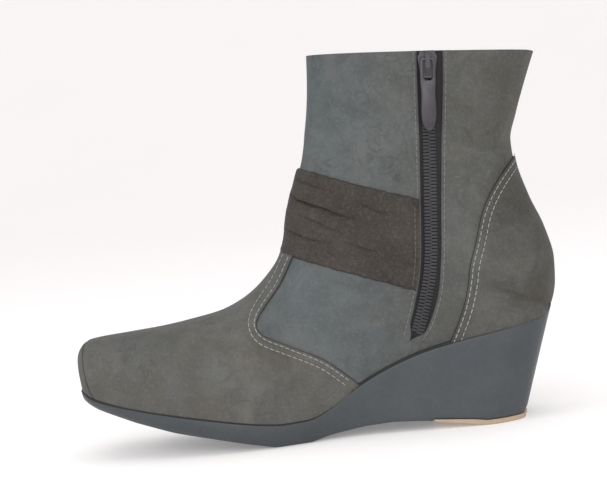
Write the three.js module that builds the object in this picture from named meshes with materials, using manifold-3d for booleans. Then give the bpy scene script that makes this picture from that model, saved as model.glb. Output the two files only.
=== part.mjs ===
// Right ankle boot on a wedge sole, in millimetres. The toe points to -X, +Z is up, and the zip side is -Y.
import * as THREE from "three";
import { mergeVertices } from "three/addons/utils/BufferGeometryUtils.js";
import Module from "manifold-3d";

const wasm = await Module();
wasm.setup();

// Last: the lengths and heights that every section follows
const footLength = 260;
const ballWidth = 84;
const heelHeight = 59.5;
const ballThickness = 12.6;
const toeSpring = 25;
const instepHeight = 70;
const shaftHeight = 74;
const collarHeight = heelHeight + instepHeight + shaftHeight;

// Leathers and clearances
const upperWall = 2;
const overlayLeather = 1.1;
const bandSuede = 1.3;
const strapLeather = 1.8;
const seatGap = 0.3;

// Sole
const soleMargin = 1.8;
const soleGap = 0.5;
const heelLean = 17;
const heelTuck = 0.8;
const liftThickness = 2.6;
const insoleThickness = 3;
const insoleClearance = 1;
const archHeight = 6;
const edgeRound = 3.2;

// Zip on the medial side
const tapeOverlap = 5;
const tapeThickness = 0.8;
const chainWidth = 7.4;
const chainThickness = 1.7;
const sliderWidth = 10;
const sliderLength = 14;
const sliderPlate = 1.6;
const bridgeWidth = 2.4;
const bridgeThickness = 1.1;
const pullLength = 38;
const pullWidth = 8;
const pullThickness = 1.5;
const pullWindowLength = 11;
const pullRail = 1.7;
const sliderDrop = 9;
const pullBar = 0.75;
const chainInset = 1.4;
const pivotRise = pullBar + seatGap;
const pivotDistance = seatGap + sliderPlate + pivotRise;
const gussetThickness = 1;

// Straps, studs and keeper on the lateral side
const loopWidth = 14;
const strapWidth = 13.5;
const strapDrop = 26;
const studDiameter = 11;
const strapStudDiameter = 10;
const studDome = 3.4;
const keeperWire = 2.2;
const keeperWidth = 9;
const keeperReach = 4.5;
// How far up from a stud the point lies that it is turned towards
const aimReach = 6;
const strapStudRise = 2 * seatGap + strapLeather;
const loopStudRise = strapStudRise + bandSuede + seatGap;

// Number of facets round a section, between two rows of the table, round a stud and on a plate's corner
const lowSteps = 5;
const highSteps = 9;
const rowSteps = 1;
const studSides = 20;
const roundSteps = 6;

// One row for each section. back is where it meets the sole or the back of the boot, front where it
// meets the ridge of the vamp or the front of the shaft, as shares of the foot length. spring and rise
// lift the lower end, backInstep to frontShaft lift the ends above it. The widths are shares of the
// ball width, seam at the sole and wide at the widest level, which is at the share level.
const sections = [
  { back: 0.008, spring: 1.00, rise: 0, front: 0.008, frontInstep: 0,
    seamM: 0, seamL: 0, wideM: 0, wideL: 0, level: 0.3, ridge: 0 },
  { back: 0.009, spring: 1.00, rise: 0, front: 0.004, frontInstep: 0.200,
    seamM: 0.17, seamL: 0.15, wideM: 0.17, wideL: 0.15, level: 0.3, ridge: -0.02 },
  { back: 0.012, spring: 0.98, rise: 0, front: 0.005, frontInstep: 0.280,
    seamM: 0.23, seamL: 0.21, wideM: 0.24, wideL: 0.22, level: 0.3, ridge: -0.03 },
  { back: 0.017, spring: 0.95, rise: 0, front: 0.011, frontInstep: 0.336,
    seamM: 0.27, seamL: 0.25, wideM: 0.28, wideL: 0.26, level: 0.3, ridge: -0.04 },
  { back: 0.027, spring: 0.88, rise: 0, front: 0.022, frontInstep: 0.390,
    seamM: 0.30, seamL: 0.27, wideM: 0.31, wideL: 0.28, level: 0.3, ridge: -0.04 },
  { back: 0.052, spring: 0.78, rise: 0, front: 0.052, frontInstep: 0.443,
    seamM: 0.34, seamL: 0.30, wideM: 0.35, wideL: 0.32, level: 0.3, ridge: -0.05 },
  { back: 0.105, spring: 0.63, rise: 0, front: 0.105, frontInstep: 0.512,
    seamM: 0.39, seamL: 0.35, wideM: 0.41, wideL: 0.37, level: 0.3, ridge: -0.06 },
  { back: 0.180, spring: 0.45, rise: 0, front: 0.180, frontInstep: 0.600,
    seamM: 0.44, seamL: 0.40, wideM: 0.46, wideL: 0.42, level: 0.3, ridge: -0.07 },
  { back: 0.250, spring: 0.30, rise: 0, front: 0.250, frontInstep: 0.691,
    seamM: 0.47, seamL: 0.44, wideM: 0.49, wideL: 0.47, level: 0.3, ridge: -0.07 },
  { back: 0.308, spring: 0.18, rise: 0, front: 0.304, frontInstep: 0.774,
    seamM: 0.475, seamL: 0.475, wideM: 0.50, wideL: 0.50, level: 0.3, ridge: -0.07 },
  { back: 0.365, spring: 0.065, rise: 0, front: 0.352, frontInstep: 0.891,
    seamM: 0.45, seamL: 0.49, wideM: 0.48, wideL: 0.51, level: 0.3, ridge: -0.06 },
  { back: 0.415, spring: 0, rise: 0, front: 0.381, frontInstep: 0.986,
    seamM: 0.41, seamL: 0.485, wideM: 0.44, wideL: 0.51, level: 0.3, ridge: -0.05 },
  { back: 0.462, spring: 0, rise: 0.008, front: 0.402, frontInstep: 1.051,
    seamM: 0.365, seamL: 0.46, wideM: 0.40, wideL: 0.485, level: 0.3, ridge: -0.04 },
  { back: 0.510, spring: 0, rise: 0.110, front: 0.419, frontInstep: 1.050,
    seamM: 0.325, seamL: 0.42, wideM: 0.375, wideL: 0.455, level: 0.3, ridge: -0.03 },
  { back: 0.565, spring: 0, rise: 0.305, front: 0.432, frontInstep: 0.983,
    seamM: 0.30, seamL: 0.385, wideM: 0.36, wideL: 0.43, level: 0.31, ridge: -0.02 },
  { back: 0.635, spring: 0, rise: 0.495, front: 0.442, frontInstep: 0.930,
    seamM: 0.295, seamL: 0.355, wideM: 0.36, wideL: 0.41, level: 0.33, ridge: -0.01 },
  { back: 0.712, spring: 0, rise: 0.645, front: 0.449, frontInstep: 0.908,
    seamM: 0.31, seamL: 0.345, wideM: 0.37, wideL: 0.40, level: 0.35, ridge: 0 },
  { back: 0.796, spring: 0, rise: 0.745, front: 0.454, frontInstep: 0.920,
    seamM: 0.33, seamL: 0.34, wideM: 0.385, wideL: 0.395, level: 0.38, ridge: 0 },
  { back: 0.877, spring: 0, rise: 0.815, front: 0.458, frontInstep: 0.945,
    seamM: 0.32, seamL: 0.325, wideM: 0.39, wideL: 0.39, level: 0.40, ridge: 0 },
  { back: 0.935, spring: 0, rise: 0.880, front: 0.462, frontInstep: 0.975,
    seamM: 0.26, seamL: 0.26, wideM: 0.385, wideL: 0.385, level: 0.41, ridge: 0 },
  { back: 0.967, spring: 0, rise: 0.940, front: 0.467, frontInstep: 0.985,
    seamM: 0.17, seamL: 0.17, wideM: 0.38, wideL: 0.38, level: 0.41, ridge: 0 },
  { back: 0.980, spring: 0, rise: 1, front: 0.471, frontInstep: 0.985,
    seamM: 0, seamL: 0, wideM: 0.375, wideL: 0.375, level: 0.41, ridge: 0 },
  { back: 0.992, spring: 0, rise: 1, backInstep: 0.16, front: 0.475, frontInstep: 1, frontShaft: 0.03,
    seamM: 0, seamL: 0, wideM: 0.37, wideL: 0.37, level: 0.41, ridge: 0 },
  { back: 0.994, spring: 0, rise: 1, backInstep: 0.34, front: 0.481, frontInstep: 1, frontShaft: 0.08,
    seamM: 0, seamL: 0, wideM: 0.36, wideL: 0.365, level: 0.41, ridge: 0 },
  { back: 0.980, spring: 0, rise: 1, backInstep: 0.58, front: 0.490, frontInstep: 1, frontShaft: 0.16,
    seamM: 0, seamL: 0, wideM: 0.35, wideL: 0.355, level: 0.42, ridge: 0 },
  { back: 0.955, spring: 0, rise: 1, backInstep: 0.82, front: 0.498, frontInstep: 1, frontShaft: 0.24,
    seamM: 0, seamL: 0, wideM: 0.345, wideL: 0.35, level: 0.43, ridge: 0 },
  { back: 0.935, spring: 0, rise: 1, backInstep: 1, backShaft: 0.09,
    front: 0.505, frontInstep: 1, frontShaft: 0.335,
    seamM: 0, seamL: 0, wideM: 0.345, wideL: 0.35, level: 0.44, ridge: 0 },
  { back: 0.932, spring: 0, rise: 1, backInstep: 1, backShaft: 0.25,
    front: 0.511, frontInstep: 1, frontShaft: 0.45,
    seamM: 0, seamL: 0, wideM: 0.35, wideL: 0.355, level: 0.45, ridge: 0 },
  { back: 0.948, spring: 0, rise: 1, backInstep: 1, backShaft: 0.44,
    front: 0.519, frontInstep: 1, frontShaft: 0.60,
    seamM: 0, seamL: 0, wideM: 0.365, wideL: 0.37, level: 0.46, ridge: 0 },
  { back: 0.970, spring: 0, rise: 1, backInstep: 1, backShaft: 0.65,
    front: 0.526, frontInstep: 1, frontShaft: 0.80,
    seamM: 0, seamL: 0, wideM: 0.385, wideL: 0.39, level: 0.47, ridge: 0 },
  { back: 0.995, spring: 0, rise: 1, backInstep: 1, backShaft: 0.868,
    front: 0.530, frontInstep: 1, frontShaft: 1,
    seamM: 0, seamL: 0, wideM: 0.405, wideL: 0.41, level: 0.48, ridge: 0 },
];
const closedRow = sections.findIndex((row) => row.rise === 1);
const lowRound = 2.2;
const highRound = 2.1;
const toeRound = 2.7;
const toeRows = 9;
// Sections that rise less than this from back to front are measured along X
const flatSpan = 20;

// Seams and cut edges in the side view: x in foot lengths from the toe, z in collar heights
const vampEdge = {
  medial: [[0.454, 0.482], [0.423, 0.413], [0.388, 0.358], [0.375, 0.323], [0.390, 0.294], [0.438, 0.261],
    [0.504, 0.217], [0.545, 0.174], [0.573, 0.138], [0.60, 0.09]],
  lateral: [[0.504, 0.506], [0.446, 0.413], [0.404, 0.339], [0.388, 0.300], [0.396, 0.263], [0.431, 0.236],
    [0.504, 0.212], [0.550, 0.179], [0.592, 0.143], [0.62, 0.09]],
};
const counterEdge = {
  medial: [[0.95, 0.70], [0.935, 0.688], [0.888, 0.627], [0.854, 0.558], [0.832, 0.475], [0.817, 0.422],
    [0.808, 0.369], [0.792, 0.305], [0.762, 0.226], [0.74, 0.18]],
  lateral: [[0.95, 0.705], [0.938, 0.693], [0.902, 0.637], [0.863, 0.555], [0.844, 0.491], [0.825, 0.403],
    [0.817, 0.324], [0.800, 0.256], [0.781, 0.226], [0.76, 0.18]],
};
const toeSeam = [[0.018, 0.36], [0.018, 0.28], [0.021, 0.235], [0.028, 0.19], [0.036, 0.165],
  [0.045, 0.14]];
const slotFront = [[0.758, 1.05], [0.753, 0.998], [0.747, 0.885], [0.740, 0.737], [0.731, 0.590],
  [0.720, 0.442], [0.702, 0.344], [0.676, 0.248]];
const slotRear = [[0.808, 1.05], [0.804, 0.998], [0.796, 0.885], [0.784, 0.737], [0.772, 0.590],
  [0.760, 0.442], [0.745, 0.344], [0.716, 0.263], [0.696, 0.243]];
const bandEdge = {
  medialTop: [[0.40, 0.74], [0.487, 0.710], [0.538, 0.688], [0.615, 0.651], [0.728, 0.602]],
  medialBottom: [[0.40, 0.50], [0.438, 0.491], [0.504, 0.462], [0.615, 0.411], [0.702, 0.370]],
  lateralTop: [[0.40, 0.74], [0.487, 0.712], [0.538, 0.675], [0.577, 0.650], [0.615, 0.607], [0.654, 0.545],
    [0.70, 0.526], [0.90, 0.520]],
  lateralBottom: [[0.40, 0.50], [0.504, 0.486], [0.577, 0.470], [0.654, 0.448], [0.704, 0.422],
    [0.75, 0.375], [0.814, 0.312], [0.90, 0.24]],
};
const gussetSlit = { x: 0.783, halfWidth: 0.024, foot: 0.776 };
const loopPlace = { topX: 0.688, topZ: 0.556, footX: 0.665, footZ: 0.337, bandFootZ: 0.372, bandTopZ: 0.547,
  studX: 0.669, studZ: 0.405 };
const strapPlace = { frontX: 0.642, rearX: 0.935, studX: 0.899, slope: 0.052 };

const materials = {
  leather: new THREE.MeshStandardMaterial({ color: 0x5a5e5e, roughness: 0.72, metalness: 0 }),
  suede: new THREE.MeshStandardMaterial({ color: 0x3e3832, roughness: 0.95, metalness: 0 }),
  rubber: new THREE.MeshStandardMaterial({ color: 0x4e545a, roughness: 0.6, metalness: 0 }),
  lift: new THREE.MeshStandardMaterial({ color: 0xb09a80, roughness: 0.7, metalness: 0 }),
  lining: new THREE.MeshStandardMaterial({ color: 0x262427, roughness: 0.9, metalness: 0 }),
  zip: new THREE.MeshStandardMaterial({ color: 0x1c1a1f, roughness: 0.5, metalness: 0 }),
  blackMetal: new THREE.MeshStandardMaterial({ color: 0x3a393c, roughness: 0.4, metalness: 0.7 }),
  gold: new THREE.MeshStandardMaterial({ color: 0xd9b45a, roughness: 0.25, metalness: 1 }),
  gusset: new THREE.MeshStandardMaterial({ color: 0x552d30, roughness: 0.8, metalness: 0 }),
};

const lerp = (a, b, share) => a + (b - a) * share;

// One section as real lengths, with x measured from the middle of the foot
function sizedSection(row) {
  const base = ballThickness + toeSpring * row.spring + (heelHeight - ballThickness) * row.rise;
  const lift = (instep = 0, shaft = 0) => base + instepHeight * instep + shaftHeight * shaft;
  return {
    backX: (row.back - 0.5) * footLength,
    backZ: lift(row.backInstep, row.backShaft),
    frontX: (row.front - 0.5) * footLength,
    frontZ: lift(row.frontInstep, row.frontShaft),
    seamM: row.seamM * ballWidth,
    seamL: row.seamL * ballWidth,
    wideM: row.wideM * ballWidth,
    wideL: row.wideL * ballWidth,
    level: row.level,
    ridge: row.ridge * ballWidth,
    round: row.round,
  };
}

// The section at any place between the rows, on a smooth curve through them
function sectionAt(u) {
  const last = sized.length - 1;
  const i = Math.min(Math.floor(u), last - 1);
  const t = u - i;
  const before = sized[Math.max(i - 1, 0)];
  const from = sized[i];
  const to = sized[i + 1];
  const after = sized[Math.min(i + 2, last)];
  const result = {};
  for (const key of Object.keys(from)) {
    const slopeFrom = limitedSlope(from[key] - before[key], to[key] - from[key]);
    const slopeTo = limitedSlope(to[key] - from[key], after[key] - to[key]);
    const t2 = t * t;
    const t3 = t2 * t;
    result[key] = from[key] * (2 * t3 - 3 * t2 + 1) + slopeFrom * (t3 - 2 * t2 + t)
      + to[key] * (3 * t2 - 2 * t3) + slopeTo * (t3 - t2);
  }
  return result;
}

// Slope that never lets the curve pass beyond its rows
function limitedSlope(before, after) {
  if (before * after <= 0) return 0;
  return (2 * before * after) / (before + after);
}

// Half-width of a section at a share of its height: rounded from the seam to the widest level,
// then rounded to the ridge
function halfWidth(section, share, side) {
  const seam = side < 0 ? section.seamM : section.seamL;
  const wide = side < 0 ? section.wideM : section.wideL;
  if (share < section.level) {
    const s = 1 - share / section.level;
    return seam + (wide - seam) * (1 - s ** lowRound) ** (1 / lowRound);
  }
  const s = Math.min(1, (share - section.level) / (1 - section.level));
  return wide * (1 - s ** section.round) ** (1 / section.round);
}

function skinPoint(section, share, side) {
  const middle = section.ridge * share * share;
  return new THREE.Vector3(
    lerp(section.backX, section.frontX, share),
    middle + side * halfWidth(section, share, side),
    lerp(section.backZ, section.frontZ, share),
  );
}

// Shares of the height at the facets of one half, closer together where it bends most
function heightShares(section) {
  const shares = [];
  for (let k = 0; k <= lowSteps; k += 1) {
    const angle = (k / lowSteps) * Math.PI / 2;
    shares.push(section.level * (1 - Math.cos(angle) ** (2 / lowRound)));
  }
  for (let k = 1; k <= highSteps; k += 1) {
    const angle = (k / highSteps) * Math.PI / 2;
    shares.push(section.level + (1 - section.level) * Math.sin(angle) ** (2 / section.round));
  }
  return shares;
}

const sized = sections.map((row, i) => sizedSection({
  ...row,
  round: i < toeRows ? lerp(toeRound, highRound, i / toeRows) : highRound,
}));

// Grid of the outer skin, a row of points for each section from the medial seam to the lateral one
const rowCount = (sections.length - 1) * rowSteps;
const skin = [];
for (let i = 0; i <= rowCount; i += 1) {
  const section = sectionAt(i / rowSteps);
  const shares = heightShares(section);
  const medial = shares.map((share) => skinPoint(section, share, -1));
  const lateral = shares.slice(0, -1).map((share) => skinPoint(section, share, 1));
  skin.push([...medial, ...lateral.reverse()]);
}
const columns = skin[0].length - 1;
const closedAt = closedRow * rowSteps;

// Outward normals of the skin, from its neighbours
const skinNormals = skin.map((row, i) => row.map((point, j) => {
  const closed = i >= closedAt;
  const left = j > 0 ? skin[i][j - 1] : skin[i][closed ? columns - 1 : 0];
  const right = j < columns ? skin[i][j + 1] : skin[i][closed ? 1 : columns];
  const below = skin[Math.max(i - 1, 0)][j];
  const above = skin[Math.min(i + 1, rowCount)][j];
  const across = right.clone().sub(left);
  const along = above.clone().sub(below);
  const normal = along.cross(across).normalize();
  if (normal.lengthSq() < 0.5) normal.set(-1, 0, 0);
  return normal;
}));
skinNormals[0].forEach((normal) => normal.set(-1, 0, 0));
// The two edges meet on the middle line behind the heel
for (let i = closedAt; i <= rowCount; i += 1) {
  const backNormal = skinNormals[i][0].add(skinNormals[i][columns]).setY(0).normalize();
  skinNormals[i][columns].copy(backNormal);
}

// Height of the seam between upper and sole, along the foot
function seamHeight(x) {
  for (let i = 1; i <= closedAt; i += 1) {
    const from = skin[i - 1][0];
    const to = skin[i][0];
    if (x <= to.x || i === closedAt) {
      const share = THREE.MathUtils.clamp((x - from.x) / (to.x - from.x), 0, 1);
      return lerp(from.z, to.z, share);
    }
  }
  return heelHeight;
}

function offsetPoint(i, j, distance) {
  const point = skin[i][j].clone().addScaledVector(skinNormals[i][j], distance);
  if (i <= closedAt && (j === 0 || j === columns)) point.z = seamHeight(point.x);
  return point;
}

// Closed solid from triangles given as points
function solidGeometry(triangles) {
  const geometry = new THREE.BufferGeometry();
  const values = new Float32Array(triangles.length * 9);
  triangles.forEach((corners, i) => corners.forEach((p, k) => p.toArray(values, i * 9 + k * 3)));
  geometry.setAttribute("position", new THREE.BufferAttribute(values, 3));
  return geometry;
}

function quad(triangles, a, b, c, d) {
  triangles.push([a, b, c], [a, c, d]);
}

// Wall of the boot between two offsets from the skin, open at the collar and along the sole
function wallGeometry(inner, outer) {
  const outside = skin.map((row, i) => row.map((_, j) => offsetPoint(i, j, outer)));
  const inside = skin.map((row, i) => row.map((_, j) => offsetPoint(i, j, inner)));
  const triangles = [];
  for (let i = 0; i < rowCount; i += 1) {
    for (let j = 0; j < columns; j += 1) {
      quad(triangles, outside[i][j], outside[i + 1][j], outside[i + 1][j + 1], outside[i][j + 1]);
      quad(triangles, inside[i][j], inside[i][j + 1], inside[i + 1][j + 1], inside[i + 1][j]);
    }
  }
  for (let i = 0; i < closedAt; i += 1) {
    quad(triangles, outside[i][0], inside[i][0], inside[i + 1][0], outside[i + 1][0]);
    quad(triangles, outside[i][columns], outside[i + 1][columns],
      inside[i + 1][columns], inside[i][columns]);
  }
  for (let j = 0; j < columns; j += 1) {
    quad(triangles, outside[rowCount][j], inside[rowCount][j],
      inside[rowCount][j + 1], outside[rowCount][j + 1]);
  }
  return solidGeometry(triangles);
}

// Geometry to a solid that can be cut, and back
function toSolid(geometry) {
  const bare = geometry.clone();
  bare.deleteAttribute("normal");
  bare.deleteAttribute("uv");
  const merged = mergeVertices(bare, 1e-3);
  const index = merged.index.array;
  const kept = [];
  for (let i = 0; i < index.length; i += 3) {
    const [a, b, c] = [index[i], index[i + 1], index[i + 2]];
    if (a !== b && b !== c && c !== a) kept.push(a, b, c);
  }
  return new wasm.Manifold(new wasm.Mesh({
    numProp: 3,
    vertProperties: merged.attributes.position.array,
    triVerts: new Uint32Array(kept),
  }));
}

function toGeometry(solid) {
  const mesh = solid.getMesh();
  const geometry = new THREE.BufferGeometry();
  geometry.setAttribute("position", new THREE.BufferAttribute(new Float32Array(mesh.vertProperties), 3));
  geometry.setIndex(new THREE.BufferAttribute(new Uint32Array(mesh.triVerts), 1));
  return geometry;
}

// Side-view point in millimetres from its shares
const sidePoint = ([x, z]) => new THREE.Vector2((x - 0.5) * footLength, z * collarHeight);

// Smooth edge through side-view points
function smoothEdge(points, steps = 18) {
  return new THREE.SplineCurve(points.map(sidePoint)).getPoints(steps);
}

// Prism across the boot with a side-view outline, from one y to another
function sidePrism(outline, fromY, toY) {
  const shape = new THREE.Shape(outline);
  const settings = { depth: toY - fromY, bevelEnabled: false, curveSegments: 1 };
  const geometry = new THREE.ExtrudeGeometry(shape, settings);
  geometry.rotateX(Math.PI / 2);
  geometry.translate(0, toY, 0);
  return toSolid(geometry);
}

const reach = footLength;
const medialPrism = (outline) => sidePrism(outline, -reach, 0.01);
const lateralPrism = (outline) => sidePrism(outline, -0.01, reach);


// Underside of the boot on the floor: flat under the ball and under the heel, arched between,
// as shares of the toe spring and of the arch height
const underside = [
  { along: 0, spring: 1.40, arch: 0 },
  { along: 0.015, spring: 1.24, arch: 0 },
  { along: 0.040, spring: 1.10, arch: 0 },
  { along: 0.115, spring: 0.79, arch: 0 },
  { along: 0.190, spring: 0.53, arch: 0 },
  { along: 0.270, spring: 0.33, arch: 0 },
  { along: 0.345, spring: 0.13, arch: 0 },
  { along: 0.395, spring: 0, arch: 0 },
  { along: 0.465, spring: 0, arch: 0 },
  { along: 0.505, spring: 0, arch: 0.42 },
  { along: 0.575, spring: 0, arch: 0.85 },
  { along: 0.635, spring: 0, arch: 1 },
  { along: 0.700, spring: 0, arch: 0.86 },
  { along: 0.770, spring: 0, arch: 0.42 },
  { along: 0.825, spring: 0, arch: 0 },
  { along: 1, spring: 0, arch: 0 },
];
const liftFront = 0.715;
const liftFull = 0.80;
const liftLip = 0.4;
const leanStart = 0.62;
const soleRowStep = 0.5;
const soleLevels = [0, 0.4, 0.75, 1];
const roundedSide = 2.6;
const ballEnd = 0.45;
const heelStart = 0.65;

function tableValue(table, key, column, at) {
  const next = Math.max(1, table.findIndex((row) => row[key] >= at));
  const [from, to] = [table[next - 1], table[next]];
  const share = THREE.MathUtils.clamp((at - from[key]) / (to[key] - from[key]), 0, 1);
  return lerp(from[column], to[column], share);
}

function floorHeight(x) {
  const along = THREE.MathUtils.clamp(x / footLength + 0.5, 0, 1);
  return toeSpring * tableValue(underside, "along", "spring", along)
    + archHeight * tableValue(underside, "along", "arch", along);
}

// Thickness of the heel lift under the wedge, from its thin front lip to its full thickness
function liftHeight(x) {
  const share = THREE.MathUtils.clamp((x / footLength + 0.5 - liftFront) / (liftFull - liftFront), 0, 1);
  return liftThickness * lerp(liftLip, 1, share);
}

// Seam outline in plan, moved outwards by a distance: pairs of medial and lateral points
function seamOutline(distance) {
  const medial = [];
  const lateral = [];
  for (let u = 0; u <= closedRow; u += soleRowStep) {
    const section = sectionAt(u);
    medial.push(new THREE.Vector2(section.backX, -section.seamM));
    lateral.push(new THREE.Vector2(section.backX, section.seamL));
  }
  const loop = [...medial, ...lateral.slice(1, -1).reverse()];
  const moved = loop.map((point, k) => {
    const before = loop[(k + loop.length - 1) % loop.length];
    const after = loop[(k + 1) % loop.length];
    const along = after.clone().sub(before).normalize();
    return new THREE.Vector2(point.x + along.y * distance, point.y - along.x * distance);
  });
  const last = medial.length - 1;
  return medial.map((_, i) => [moved[i], moved[i === 0 || i === last ? i : loop.length - i]]);
}

// Closed solid from loops of points that are stacked on each other, each a list of left and right pairs
function stackedSolid(loops) {
  const triangles = [];
  const last = loops[0].length - 1;
  for (let i = 0; i < last; i += 1) {
    const top = loops[0];
    const bottom = loops[loops.length - 1];
    quad(triangles, top[i][0], top[i + 1][0], top[i + 1][1], top[i][1]);
    quad(triangles, bottom[i][0], bottom[i][1], bottom[i + 1][1], bottom[i + 1][0]);
    for (let k = 0; k + 1 < loops.length; k += 1) {
      quad(triangles, loops[k][i][0], loops[k + 1][i][0], loops[k + 1][i + 1][0], loops[k][i + 1][0]);
      quad(triangles, loops[k][i][1], loops[k][i + 1][1], loops[k + 1][i + 1][1], loops[k + 1][i][1]);
    }
  }
  return solidGeometry(triangles);
}

// Lean of the wedge at its back, growing from the arch to the heel
function leanAt(x) {
  const share = THREE.MathUtils.clamp((x / footLength + 0.5 - leanStart) / (1 - leanStart), 0, 1);
  return heelLean * share;
}

function soleLoops() {
  return soleLevels.map((level) => {
    const outline = seamOutline(0);
    const wide = seamOutline(soleMargin);
    const rounded = seamOutline(-edgeRound);
    const tucked = seamOutline(-heelTuck);
    return outline.map((pair, i) => pair.map((_, side) => {
      const top = wide[i][side];
      const backwards = (top.x / footLength + 0.5 - ballEnd) / (heelStart - ballEnd);
      const heelShare = THREE.MathUtils.clamp(backwards, 0, 1);
      const low = rounded[i][side].clone().lerp(tucked[i][side], heelShare);
      const bend = lerp(roundedSide, 1, heelShare);
      const point = top.clone().lerp(low, level ** bend);
      const x = point.x - leanAt(point.x) * level;
      const foot = low.x - leanAt(low.x);
      const inLift = foot / footLength + 0.5 > liftFront;
      const bottom = floorHeight(foot) + (inLift ? liftHeight(foot) + seatGap : 0);
      return new THREE.Vector3(x, point.y, lerp(seamHeight(top.x) - soleGap, bottom, level));
    }));
  });
}

function wedgeSole() {
  return stackedSolid(soleLoops());
}

function heelLift() {
  const loops = soleLoops();
  const bottom = loops[loops.length - 1];
  const rows = bottom.filter((pair) => pair[0].x / footLength + 0.5 > liftFront);
  const top = rows.map((pair) => pair.map((p) => new THREE.Vector3(p.x, p.y, p.z - seatGap)));
  const foot = rows.map((pair) => pair.map((p) => new THREE.Vector3(p.x, p.y, floorHeight(p.x))));
  return closedEnd(stackedSolid([top, foot]), top[0], foot[0]);
}

// Adds the flat front end that a stack of open rows lacks
function closedEnd(geometry, top, foot) {
  const triangles = [];
  quad(triangles, top[0], top[1], foot[1], foot[0]);
  const end = solidGeometry(triangles);
  const values = [...geometry.attributes.position.array, ...end.attributes.position.array];
  const whole = new THREE.BufferGeometry();
  whole.setAttribute("position", new THREE.BufferAttribute(new Float32Array(values), 3));
  return whole;
}

function insole() {
  const outline = seamOutline(-(upperWall + insoleClearance));
  const raise = (height) => outline.map((pair) => pair.map((p) => (
    new THREE.Vector3(p.x, p.y, seamHeight(p.x) + height))));
  return stackedSolid([raise(seatGap + insoleThickness), raise(seatGap)]);
}

// Place on the skin under a side-view point, with the outward normal there
function skinAt(side, x, z) {
  const sideOf = (u) => {
    const section = sectionAt(u);
    const [spanX, spanZ] = [section.frontX - section.backX, section.frontZ - section.backZ];
    return spanX * (z - section.backZ) - spanZ * (x - section.backX);
  };
  let low = toeRows;
  let high = sections.length - 1.001;
  for (let step = 0; step < 40; step += 1) {
    const middle = (low + high) / 2;
    if (sideOf(middle) < 0) low = middle;
    else high = middle;
  }
  const section = sectionAt(low);
  const share = (z - section.backZ) / (section.frontZ - section.backZ);
  const flat = (x - section.backX) / (section.frontX - section.backX);
  return skinPoint(section, Math.abs(section.frontZ - section.backZ) > flatSpan ? share : flat, side);
}

// Frame on the skin: origin at a place, Y along the skin towards a second place, Z outwards
function skinFrame(side, place, towards) {
  const origin = skinAt(side, place.x, place.y);
  const along = skinAt(side, towards.x, towards.y).sub(origin).normalize();
  const nearby = skinAt(side, place.x + 4, place.y).sub(skinAt(side, place.x - 4, place.y));
  const out = along.clone().cross(nearby).normalize();
  if (out.y * side < 0) out.negate();
  const across = along.clone().cross(out).normalize();
  return new THREE.Matrix4().makeBasis(across, along, out).setPosition(origin);
}

const leatherWall = toSolid(wallGeometry(-upperWall, 0));
const overlayWall = toSolid(wallGeometry(seatGap, seatGap + overlayLeather));
const bandWall = toSolid(wallGeometry(seatGap, seatGap + bandSuede));
const strapBase = seatGap + bandSuede + seatGap;
const soleSeat = toSolid(wedgeSole()).translate([0, 0, seatGap]);

const moved = (outline, dx, dz) => outline.map((point) => new THREE.Vector2(point.x + dx, point.y + dz));
const corners = (...points) => points.map(sidePoint);

const counterOutline = (edge) => [...smoothEdge(edge, 22), ...corners([0.9, -0.1], [1.2, 0], [1.2, 0.70])];
const bandOutline = (top, bottom) => [...smoothEdge(top, 16), ...smoothEdge(bottom, 16).reverse()];
const toeCurve = smoothEdge(toeSeam, 10);
const toeOutline = [...toeCurve, ...corners([-0.2, 0.1], [-0.2, 0.5])];
const slotOutline = [...smoothEdge(slotFront, 14), ...smoothEdge(slotRear, 14).reverse()];

function vampOutline(edge) {
  return [
    ...moved(toeCurve, seatGap, 0),
    ...corners([0.1, -0.2], [0.62, -0.2]),
    ...smoothEdge(edge, 26).reverse(),
    ...corners([edge[0][0] - 0.01, edge[0][1] + 0.04], [0.3, 0.6], [0.018, 0.5]),
  ];
}

const counterPrism = medialPrism(counterOutline(counterEdge.medial))
  .add(lateralPrism(counterOutline(counterEdge.lateral)));
const bandPrism = medialPrism(bandOutline(bandEdge.medialTop, bandEdge.medialBottom))
  .add(lateralPrism(bandOutline(bandEdge.lateralTop, bandEdge.lateralBottom)));

const slitTop = 1.05;
const slitFoot = 0.776;
const slitTip = 0.4;
function slitOutline(extra) {
  const top = sidePoint([gussetSlit.x, slitTop]);
  const foot = sidePoint([gussetSlit.foot, slitFoot]);
  const half = gussetSlit.halfWidth * footLength + extra;
  return [
    new THREE.Vector2(top.x - half, top.y),
    new THREE.Vector2(foot.x - slitTip - extra, foot.y - extra),
    new THREE.Vector2(foot.x + slitTip + extra, foot.y - extra),
    new THREE.Vector2(top.x + half, top.y),
  ];
}

function upper() {
  return toGeometry(leatherWall.subtract(medialPrism(slotOutline)).subtract(lateralPrism(slitOutline(0))));
}

function toePiece() {
  return toGeometry(overlayWall.intersect(sidePrism(toeOutline, -reach, reach)).subtract(soleSeat));
}

function vamp() {
  const medial = medialPrism(vampOutline(vampEdge.medial));
  const outline = medial.add(lateralPrism(vampOutline(vampEdge.lateral)));
  return toGeometry(overlayWall.intersect(outline).subtract(bandPrism.translate([0, 0, -seatGap])));
}

function counter() {
  return toGeometry(overlayWall.intersect(counterPrism).subtract(soleSeat));
}

function band() {
  return toGeometry(bandWall.intersect(bandPrism).subtract(counterPrism.translate([-seatGap, 0, 0])));
}

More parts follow.
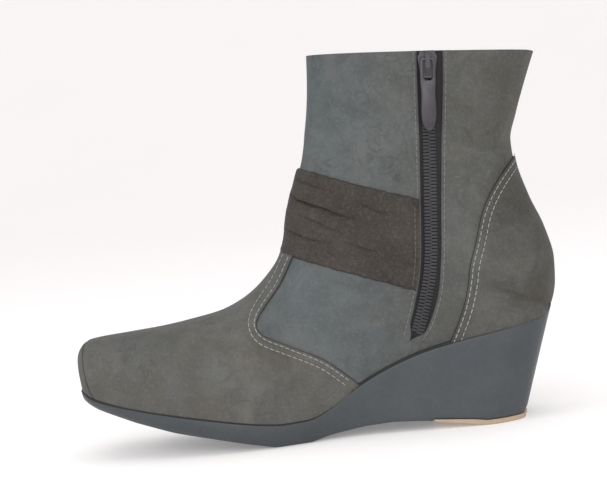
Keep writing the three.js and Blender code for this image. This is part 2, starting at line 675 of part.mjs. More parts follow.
// Strap over the gathered band: over the band, and down to the leather at both ends
function bandLoop() {
  const slope = (loopPlace.topX - loopPlace.footX) / (loopPlace.topZ - loopPlace.footZ);
  const centre = (z) => loopPlace.footX + slope * (z - loopPlace.footZ);
  const strip = (fromZ, toZ) => {
    const half = loopWidth / 2;
    const low = sidePoint([centre(fromZ), fromZ]);
    const high = sidePoint([centre(toZ), toZ]);
    return lateralPrism([
      new THREE.Vector2(low.x - half, low.y), new THREE.Vector2(low.x + half, low.y),
      new THREE.Vector2(high.x + half, high.y), new THREE.Vector2(high.x - half, high.y),
    ]);
  };
  const [foot, top] = [loopPlace.footZ, loopPlace.topZ];
  const [bandFoot, bandTop] = [loopPlace.bandFootZ, loopPlace.bandTopZ];
  const raised = toSolid(wallGeometry(strapBase, strapBase + strapLeather));
  const over = raised.intersect(strip(bandFoot, bandTop));
  const step = strapLeather / collarHeight;
  const ends = toSolid(wallGeometry(seatGap, strapBase + strapLeather));
  const lowEnd = ends.intersect(strip(bandFoot - step, bandFoot + 0.01 * step));
  const highEnd = ends.intersect(strip(bandTop - 0.01 * step, top));
  const flat = toSolid(wallGeometry(seatGap, seatGap + strapLeather));
  const tail = flat.intersect(strip(foot, bandFoot - step / 2));
  return toGeometry(over.add(lowEnd).add(highEnd).add(tail));
}

function collarStrap() {
  const outline = [
    strapCorner(strapPlace.frontX, 0.5), strapCorner(strapPlace.rearX, 0.5),
    strapCorner(strapPlace.rearX, -0.5), strapCorner(strapPlace.frontX, -0.5),
  ];
  const wall = toSolid(wallGeometry(seatGap, seatGap + strapLeather));
  return toGeometry(wall.intersect(lateralPrism(outline)));
}

// Side-view point on the collar strap, at a share of its width from its middle line
function strapCorner(along, share) {
  const x = (along - 0.5) * footLength;
  const middle = collarHeight - strapDrop - strapPlace.slope * (along - strapPlace.frontX) * footLength;
  return new THREE.Vector2(x, middle + share * strapWidth);
}

// Domed stud on a short collar, with its axis along Z
function studGeometry(diameter) {
  const radius = diameter / 2;
  const profile = [[0, 0], [radius, 0], [radius, studDome * 0.25], [radius * 0.92, studDome * 0.55],
    [radius * 0.7, studDome * 0.84], [radius * 0.38, studDome * 0.97], [0, studDome]];
  const points = profile.map(([r, h]) => new THREE.Vector2(r, h));
  const geometry = new THREE.LatheGeometry(points, studSides);
  geometry.rotateX(Math.PI / 2);
  return geometry;
}

function placed(name, geometry, material, frame, distance) {
  const mesh = new THREE.Mesh(geometry, material);
  mesh.name = name;
  const group = new THREE.Group();
  group.applyMatrix4(frame);
  mesh.position.z = distance;
  group.add(mesh);
  return group;
}

// Open metal ring that holds the front end of the collar strap, with its arms along its edges
function keeperGeometry() {
  const half = strapWidth / 2 + seatGap;
  const outer = half + keeperWire;
  const arm = keeperWidth;
  const shape = new THREE.Shape();
  shape.moveTo(arm, outer);
  shape.lineTo(outer * 0.5, outer);
  shape.absarc(outer * 0.5, outer * 0.5, outer * 0.5, Math.PI / 2, Math.PI, false);
  shape.absarc(outer * 0.5, -outer * 0.5, outer * 0.5, Math.PI, 1.5 * Math.PI, false);
  shape.lineTo(arm, -outer);
  shape.lineTo(arm, -half);
  shape.lineTo(outer * 0.5, -half);
  const inner = half - outer * 0.5;
  shape.absarc(outer * 0.5, -outer * 0.5, inner, 1.5 * Math.PI, Math.PI, true);
  shape.absarc(outer * 0.5, outer * 0.5, inner, Math.PI, Math.PI / 2, true);
  shape.lineTo(arm, half);
  return new THREE.ExtrudeGeometry(shape, { depth: keeperWire, bevelEnabled: false, curveSegments: 6 });
}

function zipTape() {
  const outer = -upperWall - seatGap;
  const wall = toSolid(wallGeometry(outer - tapeThickness, outer));
  const front = moved(smoothEdge(slotFront, 10), -tapeOverlap, -tapeOverlap / 2);
  const rear = moved(smoothEdge(slotRear, 10), tapeOverlap, -tapeOverlap / 2);
  return toGeometry(wall.intersect(medialPrism([...front, ...rear.reverse()])));
}

// Row of closed teeth along the front edge of the slot
function zipChain() {
  const wall = toSolid(wallGeometry(-upperWall, -upperWall + chainThickness));
  const front = moved(smoothEdge(slotFront, 12), chainInset, 2 * chainInset);
  const rear = moved(smoothEdge(slotFront, 12), chainInset + chainWidth, 2 * chainInset);
  return toGeometry(wall.intersect(medialPrism([...front, ...rear.reverse()])));
}

function gusset() {
  const outer = -upperWall - seatGap;
  const wall = toSolid(wallGeometry(outer - gussetThickness, outer));
  return toGeometry(wall.intersect(lateralPrism(slitOutline(tapeOverlap))));
}

// Rounded plate with a hole, in the XY plane and centred on Z
function plateGeometry(outline, hole, thickness) {
  const shape = new THREE.Shape(outline);
  if (hole) shape.holes.push(new THREE.Path(hole));
  const settings = { depth: thickness, bevelEnabled: false, curveSegments: roundSteps };
  const geometry = new THREE.ExtrudeGeometry(shape, settings);
  geometry.translate(0, 0, -thickness / 2);
  return geometry;
}

// Slider plate with the bridge that the pull hangs from, pivot at the origin and the zip along Y
function sliderGeometry() {
  const half = sliderWidth / 2;
  const top = sliderLength * 0.3;
  const foot = top - sliderLength;
  const outline = [[-half, top - 3], [-half * 0.7, top], [half * 0.7, top], [half, top - 3],
    [half * 0.72, foot], [-half * 0.72, foot]].reverse().map(([x, y]) => new THREE.Vector2(x, y));
  const plate = plateGeometry(outline, null, sliderPlate);
  plate.translate(0, 0, -pivotRise - sliderPlate / 2);
  const tunnel = pivotRise + pullBar + seatGap;
  const roof = tunnel - pivotRise + bridgeThickness;
  const [back, front] = [foot * 0.86, top * 0.9];
  const arch = [[back, -pivotRise - 0.2], [front, -pivotRise - 0.2], [front, roof * 0.6],
    [front - 1.2, roof], [back * 0.5, roof], [back, -pivotRise + 0.9]]
    .map(([y, z]) => new THREE.Vector2(y, z));
  const passage = [[back * 0.72, -pivotRise], [front - 1.3, -pivotRise],
    [front - 1.3, tunnel - pivotRise], [back * 0.45, tunnel - pivotRise]]
    .map(([y, z]) => new THREE.Vector2(y, z));
  const extruded = (outline, depth) => new THREE.ExtrudeGeometry(
    new THREE.Shape(outline), { depth, bevelEnabled: false });
  const bridge = extruded(arch, bridgeWidth);
  const gap = extruded(passage, 2 * bridgeWidth);
  for (const [geometry, depth] of [[bridge, bridgeWidth], [gap, 2 * bridgeWidth]]) {
    geometry.translate(0, 0, -depth / 2);
    geometry.rotateY(Math.PI / 2);
    geometry.rotateX(Math.PI / 2);
  }
  return toGeometry(toSolid(bridge).subtract(toSolid(gap)).add(toSolid(plate)));
}

// Pull tab that hangs from a round bar under the bridge, pivot at the origin and hanging along -Y
function pullGeometry() {
  const half = pullWidth / 2;
  const foot = -pullLength + pullBar;
  const outline = new THREE.Shape();
  outline.moveTo(-half * 0.8, pullBar);
  outline.lineTo(-half, -3);
  outline.lineTo(-half, foot * 0.72);
  outline.quadraticCurveTo(-half * 0.75, foot, -half * 0.3, foot);
  outline.lineTo(half * 0.3, foot);
  outline.quadraticCurveTo(half * 0.75, foot, half, foot * 0.72);
  outline.lineTo(half, -3);
  outline.lineTo(half * 0.8, pullBar);
  const inner = half - pullRail;
  const window = [[-inner, pullBar + 1], [inner, pullBar + 1],
    [inner, -pullWindowLength], [-inner, -pullWindowLength]];
  const plate = toSolid(plateGeometry(outline.getPoints(5), null, pullThickness));
  const corners = window.map(([x, y]) => new THREE.Vector2(x, y));
  const opening = toSolid(plateGeometry(corners, null, 2 * pullThickness));
  const bar = new THREE.CylinderGeometry(pullBar, pullBar, pullWidth * 0.78, 12);
  bar.rotateZ(Math.PI / 2);
  return toGeometry(plate.subtract(opening).add(toSolid(bar)));
}

const zipPoint = (z) => {
  const front = smoothEdge(slotFront, 60);
  const next = front.findIndex((point) => point.y < z);
  const share = (z - front[next].y) / (front[next - 1].y - front[next].y);
  const x = lerp(front[next].x, front[next - 1].x, share) + chainInset + chainWidth / 2;
  return new THREE.Vector2(x, z);
};
const pivotZ = collarHeight - sliderDrop;
const zipFrame = skinFrame(-1, zipPoint(pivotZ), zipPoint(pivotZ - pullLength));
zipFrame.multiply(new THREE.Matrix4().makeRotationZ(Math.PI));

function mesh(name, geometry, material) {
  const result = new THREE.Mesh(geometry, material);
  result.name = name;
  return result;
}

const boot = new THREE.Group();
boot.name = "ankle_boot";
boot.add(
  mesh("wedge_sole", wedgeSole(), materials.rubber),
  mesh("heel_lift", heelLift(), materials.lift),
  mesh("insole", insole(), materials.lining),
  mesh("upper", upper(), materials.leather),
  mesh("toe_piece", toePiece(), materials.leather),
  mesh("vamp", vamp(), materials.leather),
  mesh("counter", counter(), materials.leather),
  mesh("band", band(), materials.suede),
  mesh("band_loop", bandLoop(), materials.leather),
  mesh("collar_strap", collarStrap(), materials.leather),
  mesh("gusset", gusset(), materials.gusset),
  mesh("zip_tape", zipTape(), materials.zip),
  mesh("zip_chain", zipChain(), materials.zip),
);

const studPlace = sidePoint([loopPlace.studX, loopPlace.studZ]);
const studFrame = skinFrame(1, studPlace, studPlace.clone().add(new THREE.Vector2(0, aimReach)));
boot.add(placed("loop_stud", studGeometry(studDiameter), materials.gold, studFrame, loopStudRise));
const strapStudPlace = strapCorner(strapPlace.studX, 0);
const strapStudAim = strapStudPlace.clone().add(new THREE.Vector2(0, aimReach));
const strapStudFrame = skinFrame(1, strapStudPlace, strapStudAim);
const strapStud = studGeometry(strapStudDiameter);
boot.add(placed("strap_stud", strapStud, materials.gold, strapStudFrame, strapStudRise));
const keeperPlace = strapCorner(strapPlace.frontX, 0).add(new THREE.Vector2(-keeperReach, 0));
const keeperFrame = skinFrame(1, keeperPlace, keeperPlace.clone().add(new THREE.Vector2(0, -8)));
boot.add(placed("strap_keeper", keeperGeometry(), materials.gold, keeperFrame, 2 * seatGap));
boot.add(placed("zip_slider", sliderGeometry(), materials.blackMetal, zipFrame, pivotDistance));
boot.add(placed("zip_pull", pullGeometry(), materials.blackMetal, zipFrame, pivotDistance));

export default boot;
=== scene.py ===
# Right wedge ankle boot: the looks of every piece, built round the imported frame.
# Lengths are worked out in millimetres and written to the meshes in metres.
import math

import bmesh
import bpy
import numpy as np
from mathutils import Matrix, Vector


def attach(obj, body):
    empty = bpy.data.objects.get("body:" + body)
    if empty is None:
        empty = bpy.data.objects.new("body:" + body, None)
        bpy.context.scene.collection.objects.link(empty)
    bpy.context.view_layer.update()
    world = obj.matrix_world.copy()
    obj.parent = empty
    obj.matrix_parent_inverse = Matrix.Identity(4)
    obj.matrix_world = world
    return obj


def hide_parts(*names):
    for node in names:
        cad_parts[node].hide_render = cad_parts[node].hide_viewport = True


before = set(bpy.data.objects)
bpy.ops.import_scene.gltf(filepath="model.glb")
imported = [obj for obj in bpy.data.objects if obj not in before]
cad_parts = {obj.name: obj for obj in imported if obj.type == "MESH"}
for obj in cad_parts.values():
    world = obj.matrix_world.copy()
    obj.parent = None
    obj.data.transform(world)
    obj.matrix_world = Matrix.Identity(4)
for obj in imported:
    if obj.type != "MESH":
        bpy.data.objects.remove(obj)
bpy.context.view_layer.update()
bpy.ops.object.select_all(action="DESELECT")
print("frame loaded:", len(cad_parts), "nodes")

mm = 0.001

# The last: same driving sizes as the frame
last = {
    "footLength": 260.0, "ballWidth": 84.0, "heelHeight": 59.5, "ballThickness": 12.6, "toeSpring": 25.0,
    "instepHeight": 70.0, "shaftHeight": 74.0, "lowRound": 2.2, "highRound": 2.1,
    "toeRound": 2.7, "toeRows": 9, "lowPart": 0.36,
}
halfFoot = last["footLength"] / 2

# Each row: back, spring, rise, backInstep, backShaft, front, frontInstep, frontShaft,
# seamM, seamL, wideM, wideL, level, ridge
sections = [
    (0.008, 1.00, 0, 0, 0, 0.008, 0.000, 0, 0.000, 0.000, 0.000, 0.000, 0.30, 0.00),
    (0.009, 1.00, 0, 0, 0, 0.004, 0.200, 0, 0.170, 0.150, 0.170, 0.150, 0.30, -0.02),
    (0.012, 0.98, 0, 0, 0, 0.005, 0.280, 0, 0.230, 0.210, 0.240, 0.220, 0.30, -0.03),
    (0.017, 0.95, 0, 0, 0, 0.011, 0.336, 0, 0.270, 0.250, 0.280, 0.260, 0.30, -0.04),
    (0.027, 0.88, 0, 0, 0, 0.022, 0.390, 0, 0.300, 0.270, 0.310, 0.280, 0.30, -0.04),
    (0.052, 0.78, 0, 0, 0, 0.052, 0.443, 0, 0.340, 0.300, 0.350, 0.320, 0.30, -0.05),
    (0.105, 0.63, 0, 0, 0, 0.105, 0.512, 0, 0.390, 0.350, 0.410, 0.370, 0.30, -0.06),
    (0.180, 0.45, 0, 0, 0, 0.180, 0.600, 0, 0.440, 0.400, 0.460, 0.420, 0.30, -0.07),
    (0.250, 0.30, 0, 0, 0, 0.250, 0.691, 0, 0.470, 0.440, 0.490, 0.470, 0.30, -0.07),
    (0.308, 0.18, 0, 0, 0, 0.304, 0.774, 0, 0.475, 0.475, 0.500, 0.500, 0.30, -0.07),
    (0.365, 0.065, 0, 0, 0, 0.352, 0.891, 0, 0.450, 0.490, 0.480, 0.510, 0.30, -0.06),
    (0.415, 0, 0, 0, 0, 0.381, 0.986, 0, 0.410, 0.485, 0.440, 0.510, 0.30, -0.05),
    (0.462, 0, 0.008, 0, 0, 0.402, 1.051, 0, 0.365, 0.460, 0.400, 0.485, 0.30, -0.04),
    (0.510, 0, 0.110, 0, 0, 0.419, 1.050, 0, 0.325, 0.420, 0.375, 0.455, 0.30, -0.03),
    (0.565, 0, 0.305, 0, 0, 0.432, 0.983, 0, 0.300, 0.385, 0.360, 0.430, 0.31, -0.02),
    (0.635, 0, 0.495, 0, 0, 0.442, 0.930, 0, 0.295, 0.355, 0.360, 0.410, 0.33, -0.01),
    (0.712, 0, 0.645, 0, 0, 0.449, 0.908, 0, 0.310, 0.345, 0.370, 0.400, 0.35, 0),
    (0.796, 0, 0.745, 0, 0, 0.454, 0.920, 0, 0.330, 0.340, 0.385, 0.395, 0.38, 0),
    (0.877, 0, 0.815, 0, 0, 0.458, 0.945, 0, 0.320, 0.325, 0.390, 0.390, 0.40, 0),
    (0.935, 0, 0.880, 0, 0, 0.462, 0.975, 0, 0.260, 0.260, 0.385, 0.385, 0.41, 0),
    (0.967, 0, 0.940, 0, 0, 0.467, 0.985, 0, 0.170, 0.170, 0.380, 0.380, 0.41, 0),
    (0.980, 0, 1, 0, 0, 0.471, 0.985, 0, 0, 0, 0.375, 0.375, 0.41, 0),
    (0.992, 0, 1, 0.16, 0, 0.475, 1, 0.03, 0, 0, 0.370, 0.370, 0.41, 0),
    (0.994, 0, 1, 0.34, 0, 0.481, 1, 0.08, 0, 0, 0.360, 0.365, 0.41, 0),
    (0.980, 0, 1, 0.58, 0, 0.490, 1, 0.16, 0, 0, 0.350, 0.355, 0.42, 0),
    (0.955, 0, 1, 0.82, 0, 0.498, 1, 0.24, 0, 0, 0.345, 0.350, 0.43, 0),
    (0.935, 0, 1, 1, 0.09, 0.505, 1, 0.335, 0, 0, 0.345, 0.350, 0.44, 0),
    (0.932, 0, 1, 1, 0.25, 0.511, 1, 0.45, 0, 0, 0.350, 0.355, 0.45, 0),
    (0.948, 0, 1, 1, 0.44, 0.519, 1, 0.60, 0, 0, 0.365, 0.370, 0.46, 0),
    (0.970, 0, 1, 1, 0.65, 0.526, 1, 0.80, 0, 0, 0.385, 0.390, 0.47, 0),
    (0.995, 0, 1, 1, 0.868, 0.530, 1, 1, 0, 0, 0.405, 0.410, 0.48, 0),
]
closedRow = next(i for i, row in enumerate(sections) if row[2] == 1)
lastRow = len(sections) - 1


def sizedSections():
    table = np.array(sections, float)
    base = last["ballThickness"] + last["toeSpring"] * table[:, 1]
    base += (last["heelHeight"] - last["ballThickness"]) * table[:, 2]
    rows = np.arange(len(table))
    toeShare = np.clip(rows / last["toeRows"], 0, 1)
    return {
        "backX": (table[:, 0] - 0.5) * last["footLength"],
        "backZ": base + last["instepHeight"] * table[:, 3] + last["shaftHeight"] * table[:, 4],
        "frontX": (table[:, 5] - 0.5) * last["footLength"],
        "frontZ": base + last["instepHeight"] * table[:, 6] + last["shaftHeight"] * table[:, 7],
        "seamM": table[:, 8] * last["ballWidth"], "seamL": table[:, 9] * last["ballWidth"],
        "wideM": table[:, 10] * last["ballWidth"], "wideL": table[:, 11] * last["ballWidth"],
        "level": table[:, 12], "ridge": table[:, 13] * last["ballWidth"],
        "round": last["toeRound"] + (last["highRound"] - last["toeRound"]) * toeShare,
    }


sized = sizedSections()


def sectionAt(u):  # the section at any place between the rows
    u = np.clip(np.asarray(u, float), 0, lastRow)
    i = np.minimum(u.astype(int), lastRow - 1)
    t = u - i
    made = {}
    for key, column in sized.items():
        steps = np.diff(column)
        product = steps[:-1] * steps[1:]
        total = np.where(np.abs(steps[:-1] + steps[1:]) < 1e-12, 1, steps[:-1] + steps[1:])
        inner = np.where(product > 0, 2 * product / total, 0)
        slopes = np.concatenate([[0], inner, [0]])
        made[key] = (column[i] * (2 * t**3 - 3 * t**2 + 1) + slopes[i] * (t**3 - 2 * t**2 + t)
                     + column[i + 1] * (3 * t**2 - 2 * t**3) + slopes[i + 1] * (t**3 - t**2))
    return made


# Skin of the boot. u runs from toe to collar.
# w runs 0 to 1 up the medial side and 1 to 2 down the lateral side.
def skinParts(u, w):
    row = sectionAt(u)
    w = np.where(np.asarray(u) >= closedRow, np.mod(w, 2), np.clip(w, 0, 2))
    side = np.where(w <= 1, -1.0, 1.0)
    share = np.where(w <= 1, w, 2 - w)
    lowAngle = np.clip(share / last["lowPart"], 0, 1) * math.pi / 2
    highAngle = np.clip((share - last["lowPart"]) / (1 - last["lowPart"]), 0, 1) * math.pi / 2
    isLow = share < last["lowPart"]
    seam = np.where(side < 0, row["seamM"], row["seamL"])
    wide = np.where(side < 0, row["wideM"], row["wideL"])
    lowRise = 1 - np.cos(lowAngle) ** (2 / last["lowRound"])
    highRise = np.sin(highAngle) ** (2 / row["round"])
    t = np.where(isLow, row["level"] * lowRise, row["level"] + (1 - row["level"]) * highRise)
    lowHalf = seam + (wide - seam) * np.sin(lowAngle) ** (2 / last["lowRound"])
    highHalf = wide * np.abs(np.cos(highAngle)) ** (2 / row["round"])
    return row, t, side, np.where(isLow, lowHalf, highHalf)


def barePoint(u, w):
    row, t, side, half = skinParts(u, w)
    x = row["backX"] + (row["frontX"] - row["backX"]) * t
    z = row["backZ"] + (row["frontZ"] - row["backZ"]) * t
    return np.stack([x, row["ridge"] * t * t + side * half, z], axis=-1)


def bareNormal(u, w):
    stepU, stepW = 0.04, 0.008
    along = barePoint(u + stepU, w) - barePoint(u - stepU, w)
    around = barePoint(u, w + stepW) - barePoint(u, w - stepW)
    normal = np.cross(along, around)
    size = np.linalg.norm(normal, axis=-1, keepdims=True)
    normal = np.where(size > 1e-6, normal / np.maximum(size, 1e-9), np.array([-1.0, 0, 0]))
    return normal


# Side-view place (x from the toe, z from the floor) to u and w on one side.
# The search starts at the row called lowest, as more than one section can cross a place.
def skinPlace(x, z, side, lowest=0.0):
    x = np.asarray(x, float) - halfFoot
    z = np.asarray(z, float)
    low, high = np.full(x.shape, float(lowest)), np.full(x.shape, lastRow - 1e-4)
    for _ in range(34):
        middle = (low + high) / 2
        row = sectionAt(middle)
        turn = ((row["frontX"] - row["backX"]) * (z - row["backZ"])
                - (row["frontZ"] - row["backZ"]) * (x - row["backX"]))
        low = np.where(turn < 0, middle, low)
        high = np.where(turn < 0, high, middle)
    row = sectionAt(low)
    dx, dz = row["frontX"] - row["backX"], row["frontZ"] - row["backZ"]
    t = np.clip(((x - row["backX"]) * dx + (z - row["backZ"]) * dz) / (dx * dx + dz * dz), 0, 1)
    isLow = t < row["level"]
    lowAngle = np.arccos(np.clip(1 - t / row["level"], 0, 1) ** (last["lowRound"] / 2))
    highAngle = np.arcsin(np.clip((t - row["level"]) / (1 - row["level"]), 0, 1) ** (row["round"] / 2))
    share = np.where(isLow, last["lowPart"] * lowAngle / (math.pi / 2),
                     last["lowPart"] + (1 - last["lowPart"]) * highAngle / (math.pi / 2))
    return low, np.where(side < 0, share, 2 - share)


def travelled(points):  # distance run along a line of points, at each point
    return np.concatenate([[0], np.cumsum(np.linalg.norm(np.diff(points, axis=0), axis=1))])


def pickAt(at, travel, values):  # each column of values, read at distances along the line
    return np.stack([np.interp(at, travel, values[:, k]) for k in range(values.shape[1])], axis=1)


def smoothLine(points, count):  # even steps on a smooth line through the points
    stretchSteps = 24
    points = np.asarray(points, float)
    ghost = np.vstack([2 * points[0] - points[1], points, 2 * points[-1] - points[-2]])
    dense = []
    for i in range(1, len(ghost) - 2):
        a, b, c, d = ghost[i - 1:i + 3]
        for t in np.arange(0, 1, 1 / stretchSteps):
            dense.append(0.5 * (2 * b + (c - a) * t + (2 * a - 5 * b + 4 * c - d) * t * t
                                + (3 * b - a - 3 * c + d) * t ** 3))
    dense = np.array(dense + [points[-1]])
    travel = travelled(dense)
    shares = np.linspace(0, 1, count) if np.isscalar(count) else np.asarray(count)
    return pickAt(shares * travel[-1], travel, dense)


# Soft troughs and ridges pressed into the leather: side, depth, width, points in the side view
creases = [
    (-1, 1.1, 4.5, [(131, 84), (140, 80), (150, 79), (160, 76)]),
    (-1, 0.8, 3.5, [(126, 73), (134, 70), (143, 70)]),
    (-1, 0.7, 4.0, [(99, 44), (108, 38), (118, 33)]),
    (-1, 0.5, 3.0, [(112, 49), (120, 44), (127, 38)]),
    (-1, 0.6, 5.0, [(70, 52), (80, 47), (92, 45)]),
    (-1, 0.9, 6.0, [(160, 60), (166, 70), (168, 84)]),
    (-1, 0.8, 5.0, [(214, 120), (222, 133), (230, 146)]),
    (-1, 0.8, 6.0, [(150, 178), (160, 165), (172, 158)]),
    (-1, -0.7, 6.0, [(140, 190), (152, 180), (163, 176)]),
    (-1, 0.7, 4.0, [(225, 88), (234, 84), (243, 84)]),
    (1, 1.0, 4.0, [(226, 92), (235, 86), (245, 85)]),
    (1, 0.8, 3.5, [(224, 80), (233, 75), (243, 75)]),
    (1, 0.9, 5.0, [(140, 75), (152, 70), (164, 66)]),
    (1, 0.6, 4.0, [(100, 42), (112, 37), (122, 33)]),
    (1, 0.7, 6.0, [(150, 160), (165, 152), (185, 150)]),
    (1, 0.7, 5.0, [(205, 130), (215, 140), (222, 150)]),
]
creases = [(side, depth, width, smoothLine(points, 15)) for side, depth, width, points in creases]


def creaseLift(points):
    flat = points.reshape(-1, 3)
    lift = np.zeros(len(flat))
    place = np.stack([flat[:, 0] + halfFoot, flat[:, 2]], axis=1)
    for side, depth, width, line in creases:
        near = np.min(np.linalg.norm(place[:, None] - line[None], axis=2), axis=1)
        ends = np.linalg.norm(place - line[len(line) // 2], axis=1)
        reach = np.linalg.norm(line[0] - line[-1]) / 2 + width
        fade = np.clip(1.15 - (ends / reach) ** 2, 0, 1) * np.clip(flat[:, 1] * side / 8, 0, 1)
        shoulder = 0.45 * np.exp(-((near - 1.9 * width) / width) ** 2)
        lift -= depth * fade * (np.exp(-(near / width) ** 2) - shoulder)
    return lift.reshape(points.shape[:-1])


def skinPoint(u, w, offset=0.0):
    points, normals = barePoint(u, w), bareNormal(u, w)
    return points + normals * (np.asarray(offset) + creaseLift(points))[..., None]


# Grid between two edges in u and w.
# Insets are distances from each edge in millimetres, measured squarely to it.
def ruledGrid(edgeA, edgeB, insetA, insetB, steps):
    edgeA, edgeB = np.asarray(edgeA, float), np.asarray(edgeB, float)
    shares = np.linspace(0, 1, 40)
    line = edgeA[:, None] * (1 - shares[:, None]) + edgeB[:, None] * shares[:, None]
    solid = barePoint(line[..., 0], line[..., 1])
    travel = np.concatenate([np.zeros((len(edgeA), 1)),
                             np.cumsum(np.linalg.norm(np.diff(solid, axis=1), axis=2), axis=1)], axis=1)
    length = travel[:, -1]

    def slant(column, other):
        tangent = np.gradient(solid[:, column], axis=0)
        ruling = solid[:, other] - solid[:, column]
        size = np.linalg.norm(tangent, axis=1) * np.linalg.norm(ruling, axis=1)
        sine = np.linalg.norm(np.cross(tangent, ruling), axis=1) / np.maximum(size, 1e-9)
        return np.clip(sine, 0.35, 1)

    slantA, slantB = slant(0, 3), slant(-1, -4)
    fromA = np.array(insetA)[None] / slantA[:, None]
    fromB = np.array(insetB)[None] / slantB[:, None]
    most = fromA[:, -1] + fromB[:, -1]
    squeeze = np.minimum(1, 0.92 * length / np.maximum(most, 1e-9))[:, None]
    fromA, fromB = fromA * squeeze, fromB * squeeze
    middle = np.linspace(0, 1, steps + 1)[1:-1]
    start, end = fromA[:, -1:], length[:, None] - fromB[:, -1:]
    places = np.concatenate([fromA, start + (end - start) * middle, (length[:, None] - fromB)[:, ::-1]],
                            axis=1)
    grid = np.empty(places.shape + (2,))
    for i in range(len(edgeA)):
        share = np.interp(places[i], travel[i], shares)
        grid[i] = edgeA[i] * (1 - share[:, None]) + edgeB[i] * share[:, None]
    return grid, places * slantA[:, None], (length[:, None] - places) * slantB[:, None]


def rolled(distance, radius):  # height of a rounded cut edge at a distance from it
    share = np.clip(distance / radius, 0, 1)
    return np.sqrt(np.clip(1 - (1 - share) ** 2, 0, 1))


# The dip that a tight row of stitches pulls into the edge
def groove(distance, places, depth, width=0.55):
    return -sum(depth * np.exp(-((distance - place) / width) ** 2) for place in places)


def addMesh(name, vertices, faces, material, merge=0.02, smoothAngle=40, rim=None):
    mesh = bpy.data.meshes.new(name)
    mesh.from_pydata([tuple(v) for v in np.asarray(vertices, float) * mm], [], faces)
    if rim is not None:  # wear and painted shade at each point: above 0 rubbed pale, below 0 dark (dark cut edges, partly painted shade, and painted shade in crease troughs)
        mesh.attributes.new("rim", "FLOAT", "POINT").data.foreach_set("value", np.asarray(rim, np.float32))
    bm = bmesh.new()
    bm.from_mesh(mesh)
    bmesh.ops.remove_doubles(bm, verts=bm.verts, dist=merge * mm)
    bmesh.ops.dissolve_degenerate(bm, edges=bm.edges, dist=1e-7)
    bmesh.ops.recalc_face_normals(bm, faces=bm.faces)
    bm.to_mesh(mesh)
    bm.free()
    piece = bpy.data.objects.new(name, mesh)
    bpy.context.scene.collection.objects.link(piece)
    mesh.materials.append(material)
    for polygon in mesh.polygons:
        polygon.use_smooth = True
    mesh.set_sharp_from_angle(angle=math.radians(smoothAngle))
    return piece


def gridFaces(rows, columns, start=0, flip=False):
    faces = []
    for i in range(rows - 1):
        for j in range(columns - 1):
            a = start + i * columns + j
            face = (a, a + columns, a + columns + 1, a + 1)
            faces.append(face[::-1] if flip else face)
    return faces


# How dark the cut edge is painted at each distance from it, for both faces of a sheet: partly the raw edge's
# own dark colour, partly painted shade of the groove beside it
def darkEdgeAndShade(distances, width=0.42):
    return -np.concatenate([np.tile(np.exp(-(d / width) ** 2).ravel(), 2) for d in distances])


# Closed sheets, each from an upper and a lower grid of points
def layered(pairs):
    vertices, faces = [], []
    for top, bottom in pairs:
        rows, columns = top.shape[:2]
        start = len(vertices)
        vertices += list(top.reshape(-1, 3)) + list(bottom.reshape(-1, 3))
        under = start + rows * columns
        faces += gridFaces(rows, columns, start) + gridFaces(rows, columns, under, True)
        rim = [(0, j) for j in range(columns)] + [(i, columns - 1) for i in range(1, rows)]
        rim += [(rows - 1, j) for j in range(columns - 2, -1, -1)] + [(i, 0) for i in range(rows - 2, 0, -1)]
        rim = [i * columns + j for i, j in rim]
        for a, b in zip(rim, rim[1:] + rim[:1]):
            faces.append((start + a, start + b, under + b, under + a))
    return vertices, faces


# Materials
def newGroup(name, inputs, outputs):  # an input without a value is a colour
    tree = bpy.data.node_groups.new(name, "ShaderNodeTree")
    for label, value in inputs.items():
        kind = "NodeSocketColor" if value is None else "NodeSocketFloat"
        socket = tree.interface.new_socket(label, in_out="INPUT", socket_type=kind)
        if value is not None:
            socket.default_value = value
    for label in outputs:
        kind = "NodeSocketColor" if label == "Color" else "NodeSocketFloat"
        tree.interface.new_socket(label, in_out="OUTPUT", socket_type=kind)
    return tree, tree.nodes.new("NodeGroupInput"), tree.nodes.new("NodeGroupOutput")


def addNode(tree, kind, links=None, **values):
    node = tree.nodes.new(kind)
    for key, value in values.items():
        setattr(node, key, value)
    for key, value in (links or {}).items():
        if isinstance(value, bpy.types.NodeSocket):
            tree.links.new(value, node.inputs[key])
        else:
            node.inputs[key].default_value = value
    return node


def mathNode(tree, operation, first, second=0.0):
    return addNode(tree, "ShaderNodeMath", {0: first, 1: second}, operation=operation).outputs[0]


def times(tree, first, second):
    return mathNode(tree, "MULTIPLY", first, second)


def plus(tree, first, second):
    return mathNode(tree, "ADD", first, second)


def minus(tree, first, second):
    return mathNode(tree, "SUBTRACT", first, second)


def larger(tree, first, second):
    return mathNode(tree, "MAXIMUM", first, second)


def spread(tree, value, low, high, toLow=0.0, toHigh=1.0):
    return addNode(tree, "ShaderNodeMapRange", {0: value, 1: low, 2: high, 3: toLow, 4: toHigh}).outputs[0]


def noiseNode(tree, place, scale, detail=3.0, rough=0.55, warp=0.0):
    values = {"Vector": place, "Scale": scale, "Detail": detail, "Roughness": rough, "Distortion": warp}
    return addNode(tree, "ShaderNodeTexNoise", values).outputs["Fac"]


def mixColour(tree, share, first, second, blend="MIX"):
    node = addNode(tree, "ShaderNodeMix", data_type="RGBA", blend_type=blend)
    for socket, value in ((node.inputs[0], share), (node.inputs[6], first), (node.inputs[7], second)):
        if isinstance(value, bpy.types.NodeSocket):
            tree.links.new(value, socket)
        else:
            socket.default_value = value
    return node.outputs[2]


def colour(red, green, blue):  # screen colour to the shader's own scale
    return tuple((c / 255 / 12.92 if c <= 10 else ((c / 255 + 0.055) / 1.055) ** 2.4)
                 for c in (red, green, blue)) + (1.0,)


